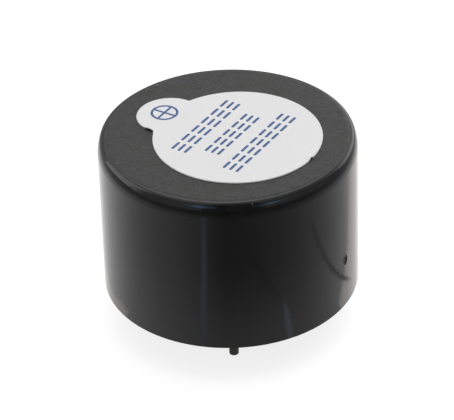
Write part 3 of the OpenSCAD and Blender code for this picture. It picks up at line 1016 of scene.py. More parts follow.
@dataclass
class Cup:
    """The moulded case: grained crown, polished rim and wall, sound hole, support ring and ledge ribs.

    Attributes:
        box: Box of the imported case.
        board: Box of the circuit board, which the ribs carry.
        gate: The gate scar.
        draft: How much narrower the wall is at the top.
        wall: Thickness of the wall.
        roof: Thickness of the roof.
        shoulder_height: Height of the shoulder between the wall and the rim.
        shoulder_top_r: Radius of the shoulder's arc at the rim.
        shoulder_side_r: Radius of its arc at the wall.
        crown_step: How far the crown stands above the rim.
        nose: Width of the rounded edge of the crown.
        rim_flat: Width of the level part of the rim.
        inner_corner: Fillet between the wall and the roof inside.
        mouth_chamfer: Chamfer of the mouth's inner edge.
        hole_radius: Radius of the sound hole.
        hole_edge: Rounding of its upper edge.
        chamber: Height of the resonance chamber.
        ring_inner: Inside radius of the support ring.
        ring_outer: Its outside radius.
        rib_inner: How near the ledge ribs come to the axis.
        rib_width: Thickness of a rib.
        rib_edge: Width of the thin rows at its edges.
        rib_overlap: How far it runs into the roof and the ring.
        rib_relief: How far above the ring's lower face its brace begins.
        rib_count: Number of ribs.
        rib_start: Azimuth of the first one, in degrees.
        foot: Height of the closely meshed foot.
        foot_guard: Width of the thin rows at its ends.
        scar_band: Heights between which the wall is closely meshed for the gate scar.
        scar_columns: Half the angle over which its columns are close together.
        scar_clear: How near the even columns come to the gate scar's middle, in degrees.
        guard: Width of the thin rows at other corners.
        seam: Width of the strip that closes the half section.
    """

    box: NodeBox = field(default_factory=lambda: NodeBox.of("housing"))
    board: NodeBox = field(default_factory=lambda: NodeBox.of("circuit_board"))
    gate: GateScar = GateScar()
    draft: float = 0.1
    wall: float = 1.0
    roof: float = 1.2
    shoulder_height: float = 1.4
    shoulder_top_r: float = 0.45
    shoulder_side_r: float = 2.8
    crown_step: float = 0.06
    nose: float = 0.18
    rim_flat: float = 0.12
    inner_corner: float = 0.5
    mouth_chamfer: float = 0.2
    hole_radius: float = 2.0
    hole_edge: float = 0.1
    chamber: float = 2.6
    ring_inner: float = 8.9
    ring_outer: float = 9.7
    rib_inner: float = 10.15
    rib_width: float = 1.2
    rib_edge: float = 0.04
    rib_overlap: float = 0.1
    rib_relief: float = 0.6
    rib_count: int = 6
    rib_start: float = 30.0
    foot: float = 0.8
    foot_guard: float = 0.03
    scar_band: Point2 = (4.2, 5.85)
    scar_columns: float = 3.0
    scar_clear: float = 3.1
    guard: float = 0.02
    seam: float = 0.001

    @property
    def radius(self) -> float:
        """Outside radius at the foot."""
        return self.box.high[0]

    @property
    def height(self) -> float:
        """Height of the crown."""
        return self.box.high[2]

    @property
    def roof_z(self) -> float:
        """Height of the roof's underside."""
        return self.height - self.roof

    @property
    def seat_z(self) -> float:
        """Height of the support ring's lower face."""
        return self.roof_z - self.chamber

    @property
    def tilt(self) -> float:
        """How far the wall leans inwards, in degrees."""
        return math.degrees(math.atan(self.draft / self.height))

    def outer(self, z: float) -> float:
        """Returns the outside radius of the wall at a height."""
        return self.radius - self.draft * z / self.height

    def outline(self) -> Outline:
        """Draws the half section, once round from the outside of the rim.

        Returns:
            The closed half section.
        """
        line = Outline()
        line.to(self.radius, 0.0, CupZone.WALL)
        line.to(self.outer(self.foot), self.foot, CupZone.WALL, 3, self.foot_guard)
        low, high = self.scar_band
        line.to(self.outer(low), low, CupZone.WALL, 4)
        line.to(self.outer(high), high, CupZone.WALL, 33)
        self.draw_shoulder(line)
        edge, corner = self.hole_edge, self.inner_corner
        line.to(self.hole_radius + edge, self.height, CupZone.CROWN, 16, self.guard)
        line.arc((self.hole_radius + edge, self.height - edge), (edge, edge), 90.0, 180.0, CupZone.CROWN, 5)
        corner_z = self.roof_z - corner
        corner_r = self.outer(corner_z) - self.wall - corner
        roof, seat, near, far = self.roof_z, self.seat_z, self.ring_inner, self.ring_outer
        for r, z, rows in (
            (self.hole_radius, roof, 3), (near, roof, 4), (near, seat, 3), (far, seat, 1), (far, roof, 3),
            (corner_r, roof, 1),
        ):
            line.to(r, z, CupZone.INSIDE, rows, self.guard)
        line.arc((corner_r, corner_z), (corner, corner), 90.0, 0.0, CupZone.INSIDE, 8)
        chamfer = self.mouth_chamfer
        line.to(self.outer(chamfer) - self.wall, chamfer, CupZone.INSIDE, 12, self.guard)
        line.to(self.radius - self.wall + chamfer, 0.0, CupZone.INSIDE, 1, self.guard)
        line.to(self.radius - self.seam, 0.0, CupZone.WALL, 1, self.guard)
        return line

    def shoulder_arcs(self) -> tuple[Point2, Point2, float]:
        """Works out the two arcs of the shoulder.

        Returns:
            The centre of the wide side arc, the centre of the tight top arc, and the angle where they meet.
        """
        rim_top = self.height - self.crown_step
        foot = rim_top - self.shoulder_height
        lean = math.radians(self.tilt)
        wide, tight = self.shoulder_side_r, self.shoulder_top_r
        side = (self.outer(foot) - wide * math.cos(lean), foot - wide * math.sin(lean))
        rise = rim_top - tight - side[1]
        run = math.sqrt((wide - tight) ** 2 - rise**2)
        return side, (side[0] + run, rim_top - tight), math.degrees(math.atan2(rise, run))

    def draw_shoulder(self, line: Outline) -> None:
        """Draws the upper wall, the polished shoulder and the small step up to the crown.

        A wide arc leaves the wall and a tight one, tangent to it, meets the level rim.

        Args:
            line: The half section so far, on the wall.
        """
        side, top, joint = self.shoulder_arcs()
        wide, tight = self.shoulder_side_r, self.shoulder_top_r
        foot = self.height - self.crown_step - self.shoulder_height
        line.to(self.outer(foot), foot, CupZone.WALL, 12)
        line.arc(side, (wide, wide), self.tilt, joint, CupZone.RIM, 14)
        line.arc(top, (tight, tight), joint, 90.0, CupZone.RIM, 14)
        step = (top[0] - self.rim_flat - self.nose, self.height - self.crown_step)
        line.arc(step, (self.nose, self.crown_step), 30.0, 90.0, CupZone.CROWN, 5)

    def on_shoulder(self, angle: float) -> Point2:
        """Finds a point of the shoulder.

        Args:
            angle: How far the shoulder faces up there, in degrees.

        Returns:
            Its radius and height.
        """
        side, top, joint = self.shoulder_arcs()
        centre, radius = (side, self.shoulder_side_r) if angle < joint else (top, self.shoulder_top_r)
        out, up = toward(angle)
        return (centre[0] + radius * out, centre[1] + radius * up)

    def azimuths(self) -> list[float]:
        """Lists the mesh columns.

        Returns:
            Their angles: every 1.5 degrees, and closer together at the gate scar.
        """
        middle, half = self.gate.angle, self.scar_columns
        wide = [a for a in spaced(-180.0, 178.5, 239) if abs(a - middle) > self.scar_clear]
        return sorted(wide + spaced(middle - half, middle + half, 48))

    def scar(self, point: Point3) -> Point3:
        """Moves a point of the outside wall inwards where the gate broke off.

        Args:
            point: A point of the cup.

        Returns:
            The moved point.
        """
        x, y, z = point
        r = math.hypot(x, y)
        if r < self.outer(z) - self.wall / 2:
            return point
        across = math.radians(math.degrees(math.atan2(y, x)) - self.gate.angle) * r
        scale = (r - self.gate.dent(across, z)) / r
        return (x * scale, y * scale, z)

    def add_rib(self, mesh: Mesh, angle: float) -> None:
        """Adds one ledge rib with its brace to the ring, as a closed shell that grows out of the wall.

        Args:
            mesh: The cup's mesh.
            angle: The rib's direction.
        """
        foot, top = self.board.high[2], self.roof_z + self.rib_overlap
        near, far = self.rib_inner, self.outer(foot) - self.wall / 2
        ring, brace = self.ring_outer - self.rib_overlap, self.seat_z + self.rib_relief
        side = [(near, foot), (far, foot), (far, top), (ring, top), (ring, brace), (near, brace)]
        c, s = toward(angle)
        half = self.rib_width / 2
        levels = (-half, -half + self.rib_edge, half - self.rib_edge, half)
        count, last = len(side), 3 * len(side)
        ends = [(5, 0, 1, 2), (5, 2, 3, 4)]
        faces = ends + [tuple(last + i for i in reversed(end)) for end in ends]
        mesh.add(
            [(x * c - y * s, x * s + y * c, z) for y in levels for x, z in side],
            faces + grid_faces(len(levels), count, closed=True),
            CupZone.INSIDE,
        )

    def build(self, palette: Palette) -> bpy.types.Object:
        """Makes the cup.

        Args:
            palette: The finishes.

        Returns:
            The finished piece.
        """
        mesh = Mesh()
        mesh.revolve(self.outline(), self.azimuths(), closed=True)
        mesh.move(self.scar)
        for i in range(self.rib_count):
            self.add_rib(mesh, self.rib_start + 360.0 / self.rib_count * i)
        finishes = [palette.get(key) for key in ("crown", "rim", "wall", "case_inside")]
        piece = mesh.build("case_cup", finishes)
        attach(piece, "root")
        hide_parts("housing")
        return piece


# ---- Seal ----


@dataclass(frozen=True)
class Lift:
    """A spot where the film has come off the crown.

    Attributes:
        middle: Its middle, in the film's own plane.
        half: Half its width and half its height.
        rise: How far the film stands off there.
    """

    middle: Point2
    half: Point2
    rise: float

    def at(self, x: float, y: float) -> float:
        """Returns how far the film stands off at a point of its own plane."""
        away = math.hypot((x - self.middle[0]) / self.half[0], (y - self.middle[1]) / self.half[1])
        return self.rise * bump_at(away, 1.0)


@dataclass(frozen=True)
class Crease:
    """A short crease across the film's edge.

    Attributes:
        foot: A point on its line, in the film's own plane.
        lean: How far the line leans to the right for each millimetre up.
        half: Half its width.
        rise: Its height.
        start: Where it starts, and how far from there it is at its full height.
        end: Where it starts to end, and how far from there it has ended.
    """

    foot: Point2 = (0.2, -7.6)
    lean: float = 0.045
    half: float = 0.25
    rise: float = 0.02
    start: Point2 = (-8.4, 0.8)
    end: Point2 = (-5.4, 0.9)

    def at(self, x: float, y: float) -> float:
        """Works out how far the film stands off at a point of its own plane.

        Args:
            x: Place to the right of the film's centre.
            y: Place towards the tab.

        Returns:
            Height in millimetres.
        """
        started = smooth_step((y - self.start[0]) / self.start[1])
        ended = smooth_step((y - self.end[0]) / self.end[1])
        aside = x - self.foot[0] - self.lean * (y - self.foot[1])
        return self.rise * bump_at(aside, self.half) * (started * (1.0 - ended))


@dataclass
class Seal:
    """The peel-off film over the sound hole: a disc with a pull tab, lifted a little at one notch.

    Attributes:
        box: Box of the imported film.
        radius: Radius of the disc.
        air: Gap between the crown and the film.
        tab_angle: Direction of the tab.
        tab_radius: Radius of the tab.
        tab_reach: Distance of its middle from the disc's.
        nick_half: Half the width of the nick opposite the tab.
        nick_depth: Its depth.
        web: Fillet in the notch beside the tab.
        web_half: Half the angle that it takes up.
        wave: Height of the film's slow waves.
        wave_edge: Share of the radius over which they end at the edge.
        waves: Waves per millimetre.
        corner: Where the film stands off the crown beside the tab.
        flap: Where it stands off at the nick.
        crease: The faint fold across the film.
        near_notch: Angles of the close columns from each notch.
        nick_columns: Half the angle over which the columns are close together at the nick.
        clear: How near the even columns come to a notch and to the middle of the nick, in degrees.
        edge: The rounded edge, from the top: how far out each row is, and its share of the thickness.
        rows: Number of mesh rows from the middle to the edge.
        crowding: How much closer together they are near the edge. At 1 they are evenly spaced.
    """

    box: NodeBox = field(default_factory=lambda: NodeBox.of("seal_label"))
    radius: float = 7.75
    air: float = 0.002
    tab_angle: float = 147.5
    tab_radius: float = 3.02
    tab_reach: float = 7.42
    nick_half: float = 0.3
    nick_depth: float = 0.06
    web: float = 0.04
    web_half: float = 4.0
    wave: float = 0.012
    wave_edge: float = 0.12
    waves: float = 0.35
    corner: Lift = Lift((-3.2, 7.65), (1.4, 0.85), 0.18)
    flap: Lift = Lift((-0.1, -7.7), (0.5, 0.8), 0.14)
    crease: Crease = Crease()
    near_notch: tuple[float, ...] = (-0.5, -0.2, 0.0, 0.2, 0.5, 1.0, -1.0)
    nick_columns: float = 3.2
    clear: Point2 = (1.3, 3.4)
    edge: tuple[Point2, ...] = (
        (-0.15, 1.0), (-0.07, 0.93), (-0.02, 0.7), (0.0, 0.4), (0.0, 0.15), (-0.01, 0.0),
    )
    rows: int = 44
    crowding: float = 1.5

    @property
    def centre(self) -> Point2:
        """Middle of the disc: the tab reaches past it on the left only."""
        return (self.box.high[0] - self.radius, self.box.middle[1])

    @property
    def thickness(self) -> float:
        """Thickness of the film."""
        return self.box.high[2] - self.box.low[2]

    @property
    def base(self) -> float:
        """Height of its underside, just off the crown."""
        return self.box.low[2] + self.air

    def notch(self) -> float:
        """Returns the angle between the tab's middle and the notch beside it, in degrees."""
        r, c, t = self.radius, self.tab_reach, self.tab_radius
        return math.degrees(math.acos((r * r + c * c - t * t) / (2 * r * c)))

    def reach(self, angle: float) -> float:
        """Returns the film's radius in a direction.

        Args:
            angle: Degrees from the film's right, so 90 is the middle of the tab.

        Returns:
            Distance from the film's centre to its edge.
        """
        right, up = toward(angle)
        reach = self.radius
        across = self.tab_reach * right
        if up > 0 and abs(across) < self.tab_radius:
            reach = max(reach, self.tab_reach * up + math.sqrt(self.tab_radius**2 - across**2))
        from_notch = angle - 90.0 - self.notch()
        web = self.web * bump_at(from_notch, self.web_half)
        nick = math.radians((angle - 270.0 + 180.0) % 360.0 - 180.0) * self.radius
        return reach + web - self.nick_depth * bump_at(nick, self.nick_half)

    def lift(self, x: float, y: float) -> float:
        """Returns how far the film stands off the crown at a point of its own plane.

        Args:
            x: Place to the right of the film's centre.
            y: Place towards the tab.

        Returns:
            Height in millimetres.
        """
        reach = math.hypot(x, y) / self.reach(math.degrees(math.atan2(y, x)) % 360.0)
        stuck = smooth_step((1.0 - reach) / self.wave_edge)
        wave = self.wave * stuck * (1.0 + noise.noise(Vector((x * self.waves, y * self.waves, 7.0))))
        return wave + self.corner.at(x, y) + self.flap.at(x, y) + self.crease.at(x, y)

    def place(self, x: float, y: float, above: float) -> Point3:
        """Returns the point of the object over a point of the film.

        Args:
            x: Place to the right of the film's centre.
            y: Place towards the tab.
            above: Height over the film's underside.

        Returns:
            The point in the object's frame.
        """
        up = math.radians(self.tab_angle)
        right = up - math.pi / 2
        return (
            self.centre[0] + x * math.cos(right) + y * math.cos(up),
            self.centre[1] + x * math.sin(right) + y * math.sin(up),
            self.base + above + self.lift(x, y),
        )

    def columns(self) -> list[float]:
        """Lists the mesh columns.

        Returns:
            Their angles: every degree, and closer together at the notches and the nick.
        """
        notches = [90.0 - self.notch(), 90.0 + self.notch()]
        near = [notch + step for notch in notches for step in self.near_notch]
        fine = spaced(270.0 - self.nick_columns, 270.0 + self.nick_columns, 32)
        off_notch, off_nick = self.clear
        even = [
            a for a in spaced(0.0, 359.0, 359)
            if min(abs(a - notch) for notch in notches) > off_notch and abs(a - 270.0) > off_nick
        ]
        return sorted(even + near + fine)

    def build_film(self, palette: Palette) -> bpy.types.Object:
        """Makes the film itself.

        Args:
            palette: The finishes.

        Returns:
            The finished piece.
        """
        mesh = Mesh()
        columns = self.columns()
        shares = [1.0 - (1.0 - i / self.rows) ** self.crowding for i in range(1, self.rows)]
        layers = [(s, self.thickness) for s in shares]
        layers += [(inset, share * self.thickness) for inset, share in self.edge]
        layers += [(s, 0.0) for s in reversed(shares)]
        points: list[Point3] = [self.place(0.0, 0.0, self.thickness), self.place(0.0, 0.0, 0.0)]
        for share, above in layers:
            for a in columns:
                right, up = toward(a)
                far = self.reach(a)
                r = far * share if share > 0 else far + share
                points.append(self.place(r * right, r * up, above))
        count = len(columns)
        last = 2 + (len(layers) - 1) * count
        faces: list[Face] = []
        for j in range(count):
            k = (j + 1) % count
            faces += [(0, 2 + j, 2 + k), (1, last + k, last + j)]
            faces += [(low + j, low + count + j, low + count + k, low + k) for low in range(2, last, count)]
        mesh.add(points, faces)
        piece = mesh.build("seal_film", [palette.get("film")], sharp=60.0)
        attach(piece, "root")
        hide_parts("seal_label")
        return piece


@dataclass(frozen=True)
class DashRow:
    """One row of the print: dashes in stacks of three, in the film's own plane.

    Attributes:
        left: Its left end.
        right: Its right end.
        low: Its lower edge.
        high: Its upper edge.
        count: Number of stacks.
    """

    left: float
    right: float
    low: float
    high: float
    count: int


@dataclass
class Print:
    """The generic blue print on the seal: three rows of stacked dashes and a polarity mark.

    Attributes:
        seal: The film that it is on.
        mesh: Its mesh.
        ink: Thickness of the ink.
        gap: Gap between the film and the ink.
        dash: Thickness of a dash.
        dash_gap: Gap between two stacks, as a share of their pitch.
        rows: The rows of dashes.
        mark_place: Middle of the mark.
        mark_radius: Radius of the middle line of its ring.
        mark_stroke: Width of its lines.
        mark_overlap: How far the cross runs into the ring.
    """

    seal: Seal
    mesh: Mesh = field(default_factory=Mesh)
    ink: float = 0.004
    gap: float = 0.006
    dash: float = 0.27
    dash_gap: float = 0.24
    rows: tuple[DashRow, ...] = (
        DashRow(-5.0, 5.0, 2.55, 4.15, 6),
        DashRow(-3.8, 3.8, -0.23, 1.33, 5),
        DashRow(-5.4, 5.45, -3.15, -1.55, 7),
    )
    mark_place: Point2 = (0.11, 7.98)
    mark_radius: float = 1.18
    mark_stroke: float = 0.23
    mark_overlap: float = 0.02

    def patch(self, grid: list[list[Point2]], closed: bool = False) -> None:
        """Adds a thin closed shape that lies on the film.

        Args:
            grid: Rows of points of the film's plane.
            closed: Whether each row joins its own start.
        """
        rows, columns = len(grid), len(grid[0])
        size = rows * columns
        bottom = self.seal.thickness + self.gap
        heights = (bottom + self.ink, bottom)
        points = [self.seal.place(x, y, above) for above in heights for row in grid for x, y in row]
        faces: list[Face] = []
        for face in grid_faces(rows, columns, closed):
            faces += [face, tuple(size + i for i in reversed(face))]
        span = range(columns if closed else columns - 1)
        last = size - columns
        edges = [(i + j, i + (j + 1) % columns) for i in (0, last) for j in span]
        if not closed:
            edges += [(i + j, i + columns + j) for j in (0, columns - 1) for i in range(0, last, columns)]
        faces += [(a, b, size + b, size + a) for a, b in edges]
        self.mesh.add(points, faces)

    def bar(self, x0: float, x1: float, y: float, thick: float) -> None:
        """Adds a dash with rounded ends.

        Args:
            x0: Its left end.
            x1: Its right end.
            y: Its middle line.
            thick: Its thickness.
        """
        r = thick / 2
        stops = [(x0 + r - r * along, up) for along, up in map(toward, (12, 30, 50, 70, 90))]
        middle = [(x, 1.0) for x in spaced(x0 + r, x1 - r, 4)[1:-1]]
        ends = [(x0 + x1 - x, up) for x, up in reversed(stops)]
        shape = stops + middle + ends
        self.patch([[(x, y + r * up * t) for x, up in shape] for t in (-1.0, -0.5, 0.0, 0.5, 1.0)])

    def row(self, row: DashRow) -> None:
        """Adds a row of dashes.

        Args:
            row: Its place.
        """
        pitch = (row.right - row.left) / row.count
        gap = self.dash_gap * pitch
        for i in range(row.count):
            x0 = row.left + pitch * i + gap / 2
            for y in spaced(row.low + self.dash / 2, row.high - self.dash / 2, 2):
                self.bar(x0, x0 + pitch - gap, y, self.dash)

    def mark(self) -> None:
        """Adds the polarity mark, a plus sign in a ring."""
        x, y = self.mark_place
        half = self.mark_stroke / 2
        turns = [toward(a) for a in spaced(0.0, 354.0, 59)]
        rings = (self.mark_radius - half, self.mark_radius, self.mark_radius + half)
        self.patch([[(x + r * c, y + r * s) for c, s in turns] for r in rings], closed=True)
        arm = self.mark_radius - half + self.mark_overlap
        self.bar(x - arm, x + arm, y, self.mark_stroke)
        for start, end in ((half, arm), (-arm, -half)):
            stops = spaced(y + start, y + end, 6)
            self.patch([[(x + half * t, s) for s in stops] for t in (-1.0, 0.0, 1.0)])

    def build(self, palette: Palette) -> bpy.types.Object:
        """Makes the print.

        Args:
            palette: The finishes.

        Returns:
            The finished piece.
        """
        for row in self.rows:
            self.row(row)
        self.mark()
        piece = self.mesh.build("seal_print", [palette.get("ink")])
        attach(piece, "root")
        return piece


# ---- Pins ----


@dataclass
class Pin:
    """A terminal pin: thick where it is pressed into the board, thin below, with a rounded tip.

    Attributes:
        name: Name of the piece.
        node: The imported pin.
        tail_radius: Radius of the thin part.
        tip_radius: Rounding of the tip.
        shoulder: Height where the thick part begins.
        shoulder_radius: Rounding of its lower edge.
        head_radius: Rounding of its upper edge.
        guard: Width of the thin rows at corners.
    """

    name: str
    node: str
    tail_radius: float = 0.45
    tip_radius: float = 0.08
    shoulder: float = 0.35
    shoulder_radius: float = 0.04
    head_radius: float = 0.08
    guard: float = 0.01

    def build(self, palette: Palette) -> bpy.types.Object:
        """Makes the pin.

        Args:
            palette: The finishes.

        Returns:
            The finished piece.
        """
        box = NodeBox.of(self.node)
        x, y = box.middle
        body, tip, head = box.high[0] - x, box.low[2], box.high[2]
        foot, tail = self.shoulder, self.tail_radius
        end, edge, top = self.tip_radius, self.shoulder_radius, self.head_radius
        line = Outline()
        line.to(0.0, tip, 0)
        line.to(tail - end, tip, 0, 2)
        line.arc((tail - end, tip + end), (end, end), -90.0, 0.0, 0, 8)
        line.to(tail, foot, 0, 8, self.guard)
        line.to(body - edge, foot, 0, 2, self.guard)
        line.arc((body - edge, foot + edge), (edge, edge), -90.0, 0.0, 0, 3)
        line.to(body, head - top, 0, 6, self.guard)
        line.arc((body - top, head - top), (top, top), 0.0, 90.0, 0, 4)
        line.to(0.0, head, 0, 2)
        mesh = Mesh()
        mesh.revolve(line, spaced(0.0, 352.5, 47), closed=False)
        mesh.move(lambda p: (p[0] + x, p[1] + y, p[2]))
        piece = mesh.build(self.name, [palette.get("pin")])
        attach(piece, "root")
        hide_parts(self.node)
        return piece


# ---- Lint ----


@dataclass
class Lint:
    """Four pale specks of lint that lie on the crown, and a short fibre on the shoulder.

    Attributes:
        cup: The case that they lie on.
        specks: Where the specks lie, and the half width of each.
        stretch: Length, width and height of a speck for its half width.
        unevenness: How uneven it is, as a share of its size.
        sides: Points round a speck.
        fibre: Azimuth and facing angle of the shoulder at points along the fibre, in degrees.
        fibre_radius: Half its thickness.
        fibre_end: Share of the thickness at its ends.
        fibre_sides: Points round it.
        air: Gap below each of them.
    """

    cup: Cup
    specks: tuple[Point3, ...] = (
        (-6.42, 8.66, 0.085), (-9.93, -4.6, 0.06), (-7.92, -6.32, 0.04), (-7.58, -2.1, 0.045),
    )
    stretch: Point3 = (1.4, 0.8, 0.5)
    unevenness: float = 0.25
    sides: int = 10
    fibre: tuple[Point2, ...] = ((-80.5, 52.0), (-80.3, 44.0), (-80.1, 34.0), (-79.9, 26.0), (-79.8, 20.0))
    fibre_radius: float = 0.012
    fibre_end: float = 0.3
    fibre_sides: int = 6
    air: float = 0.002

    def speck(self, x: float, y: float, wide: float, turn: float) -> list[list[Point3]]:
        """Draws an uneven blob.

        Args:
            x: Where it lies.
            y: Where it lies.
            wide: Its half width.
            turn: How far it is turned, in radians.

        Returns:
            Its rings of points, from below.
        """
        length, width, rise = (wide * share for share in self.stretch)
        c, s = math.cos(turn), math.sin(turn)
        rings: list[list[Point3]] = []
        for i, a in list(enumerate(spaced(-math.pi / 2, math.pi / 2, 6)))[1:-1]:
            z = self.cup.height + self.air + rise * (1.0 + math.sin(a))
            rings.append([])
            for j in range(self.sides):
                b = 2 * math.pi * j / self.sides
                rough = noise.noise(Vector((x + i * 0.7, y + j * 0.9, 1.0)))
                away = (1.0 + self.unevenness * rough) * math.cos(a)
                u, v = length * away * math.cos(b), width * away * math.sin(b)
                rings[-1].append((x + u * c - v * s, y + u * s + v * c, z))
        return rings

    def fibre_rings(self) -> list[list[Point3]]:
        """Draws the fibre.

        Returns:
            Its rings of points, from above.
        """
        rings: list[list[Point3]] = []
        for i, (azimuth, facing) in enumerate(self.fibre):
            r, z = self.cup.on_shoulder(facing)
            thick = self.fibre_radius * (self.fibre_end if i in (0, len(self.fibre) - 1) else 1.0)
            (right, ahead), (out, up) = toward(azimuth), toward(facing)
            off = Vector((out * right, out * ahead, up))
            across = Vector((-ahead, right, 0.0))
            middle = Vector((r * right, r * ahead, z)) + off * (self.fibre_radius + self.air)
            turns = [2 * math.pi * k / self.fibre_sides for k in range(self.fibre_sides)]
            spokes = [math.cos(b) * across + math.sin(b) * off for b in turns]
            rings.append([tuple(middle + thick * spoke) for spoke in spokes])
        return rings

    def build(self, palette: Palette) -> bpy.types.Object:
        """Makes the specks and the fibre.

        Args:
            palette: The finishes.

        Returns:
            The finished piece.
        """
        mesh = Mesh()
        chance = random.Random(5)
        for x, y, size in self.specks:
            wide = size * chance.uniform(0.9, 1.1)
            turn = chance.uniform(0.0, math.pi)
            mesh.add_tube(self.speck(x, y, wide, turn))
        mesh.add_tube(self.fibre_rings())
        piece = mesh.build("crown_lint", [palette.get("lint")], sharp=80.0)
        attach(piece, "root")
        return piece


# ---- Inner parts ----


@dataclass
class InnerParts:
    """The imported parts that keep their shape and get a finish.

    Attributes:
        finishes: The finish of each node.
    """

    finishes: dict[str, str] = field(default_factory=lambda: dict(NODE_FINISHES))

    def dress(self, palette: Palette) -> None:
        """Gives each inner part its finish.

        Args:
            palette: The finishes.
        """
        for node, key in self.finishes.items():
            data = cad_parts[node].data
            data.materials.clear()
            data.materials.append(palette.get(key))
            LOG.info("%s: %s", node, FINISHES[key].name)


# ---- Studio ----


@dataclass
class Card:
    """A card of the studio that only shiny surfaces see.

    Attributes:
        name: Its name.
        colour: Its brightness and tint, where 1 is white.
    """

    name: str
    colour: Colour

    def draw(self) -> Sheet:
        """Returns the points and faces of the card. Each kind has its own shape."""
        raise NotImplementedError

    def shade(self, w: Wiring) -> object:
        """Returns what it glows with: a colour, or the socket of a graded one."""
        return (*self.colour, 1.0)

    def build(self, height: float = 0.0) -> None:
        """Makes the card.

        Args:
            height: How far it is moved up.
        """
        material, w, shader = new_material(self.name)
        w.fill_all(shader, {"Base Color": BLACK, "Specular IOR Level": 0.0})
        w.fill_all(shader, {"Emission Color": self.shade(w), "Emission Strength": 1.0})
        material.cycles.emission_sampling = "NONE"
        mesh = Mesh()
        mesh.add(*self.draw())
        card = mesh.build(self.name, [material])
        card.location.z = height * MM
        for ray in ("camera", "diffuse", "transmission", "shadow"):
            setattr(card, f"visible_{ray}", False)


@dataclass
class Flag(Card):
    """A card that is a patch of a large sphere.

    Attributes:
        azimuths: Its left and right edge, in degrees about +Z.
        elevations: Its lower and upper edge.
        radius: Its distance.
        pinch: How far it narrows towards its two ends, where 1 ends in points.
    """

    azimuths: Point2
    elevations: Point2
    radius: float = 320.0
    pinch: float = 0.0

    def draw(self) -> Sheet:
        """Draws the card.

        Returns:
            Its points and faces.
        """
        turns = [toward(a) for a in spaced(*self.azimuths, 36)]
        low, high = (math.radians(e) for e in self.elevations)
        middle, half = (low + high) / 2, (high - low) / 2
        rises = spaced(-half, half, 12)
        points: list[Point3] = []
        for rise in rises:
            for j, (right, ahead) in enumerate(turns):
                e = middle + rise * (1.0 - self.pinch * (2.0 * j / (len(turns) - 1) - 1.0) ** 2)
                level = self.radius * math.cos(e)
                points.append((level * right, level * ahead, self.radius * math.sin(e)))
        return points, grid_faces(len(rises), len(turns))


@dataclass
class GradedCard(Card):
    """A graded ring on the floor with painted light and shade for shiny surfaces to reflect: dark in front,
    and white at the sides and behind.

    Attributes:
        inner: Its inside radius.
        outer: Its outside radius.
        foot: A painted pool of light near the object's foot: how much paler it is there, and the radii
            where that starts and is full.
        far: Painted shade far from the object: how dark it is there, and the radii where that starts and is
            full.
        shades: Brightness at angles to the right of the front, in degrees.
    """

    inner: float = 12.4
    outer: float = 600.0
    foot: tuple[float, float, float] = (0.3, 32.0, 14.0)
    far: tuple[float, float, float] = (0.46, 45.0, 78.0)
    shades: tuple[Point2, ...] = (
        (-180.0, 0.65), (-155.0, 1.15), (-130.0, 1.2), (-100.0, 0.92), (-68.0, 0.58), (-30.0, 0.34),
        (-4.0, 0.12), (10.0, 0.14), (30.0, 0.2), (50.0, 0.3), (68.0, 0.44), (100.0, 0.72), (125.0, 1.05),
        (145.0, 1.2), (180.0, 0.8),
    )

    def draw(self) -> Sheet:
        """Draws the ring.

        Returns:
            Its points and faces.
        """
        turns = [toward(a) for a in spaced(0.0, 355.0, 71)]
        points = [(r * right, r * ahead, 0.0) for r in (self.inner, self.outer) for right, ahead in turns]
        return points, grid_faces(2, len(turns), closed=True)

    def shade(self, w: Wiring) -> object:
        """Grades the brightness by direction and distance.

        Args:
            w: The material's wiring.

        Returns:
            The socket with the graded colour.
        """
        place = w.apart(w.add("ShaderNodeTexCoord").outputs["Object"])
        back = w.math("MULTIPLY", place["Y"], -1.0)
        shade = w.add("ShaderNodeValToRGB")
        turn = w.math("MULTIPLY_ADD", w.math("ARCTAN2", place["X"], back), 0.5 / math.pi, 0.5)
        w.join(turn, shade.inputs["Fac"])
        stops = shade.color_ramp.elements
        for angle, level in self.shades[1:-1]:
            stops.new(angle / 360.0 + 0.5).color = (*grey(level), 1.0)
        for stop, (_, level) in zip((stops[0], stops[-1]), (self.shades[0], self.shades[-1])):
            stop.color = (*grey(level), 1.0)
        squares = [w.math("POWER", value, 2.0) for value in (place["X"], back)]
        reach = w.math("POWER", w.math("ADD", *squares), 0.5)
        # Painted pool of light near the foot, then painted shade far away.
        paler, start, full = self.foot
        near = w.math("MULTIPLY", w.ramp(reach, start * MM, full * MM), paler)
        left, start, full = self.far
        away = w.math("MULTIPLY", w.ramp(reach, start * MM, full * MM), 1.0 - left)
        return w.mix(away, w.mix(near, shade.outputs["Color"], WHITE), BLACK)


@dataclass
class Ribbon(Card):
    """A narrow strip on the floor, pointed at both ends.

    Attributes:
        path: The points that it runs through.
        width: Its width.
        tip: Its width at its ends.
    """

    path: tuple[Point2, ...]
    width: float
    tip: float = 0.04

    def draw(self) -> Sheet:
        """Draws the strip.

        Returns:
            Its points and faces.
        """
        line = [Vector(p) for p in self.path]
        points: list[Point3] = []
        for i, spot in enumerate(line):
            along = (line[min(i + 1, len(line) - 1)] - line[max(i - 1, 0)]).normalized()
            half = (self.tip if i in (0, len(line) - 1) else self.width) / 2
            points += [(spot.x + s * half * along.y, spot.y - s * half * along.x, 0.0) for s in (-1, 1)]
        return points, grid_faces(len(line), 2)


@dataclass
class Patch(Card):
    """A flat card on the floor.

    Attributes:
        corners: Its outline.
    """

    corners: tuple[Point2, ...]

    def draw(self) -> Sheet:
        """Returns its points and its one face."""
        return [(x, y, 0.0) for x, y in self.corners], [tuple(range(len(self.corners)))]


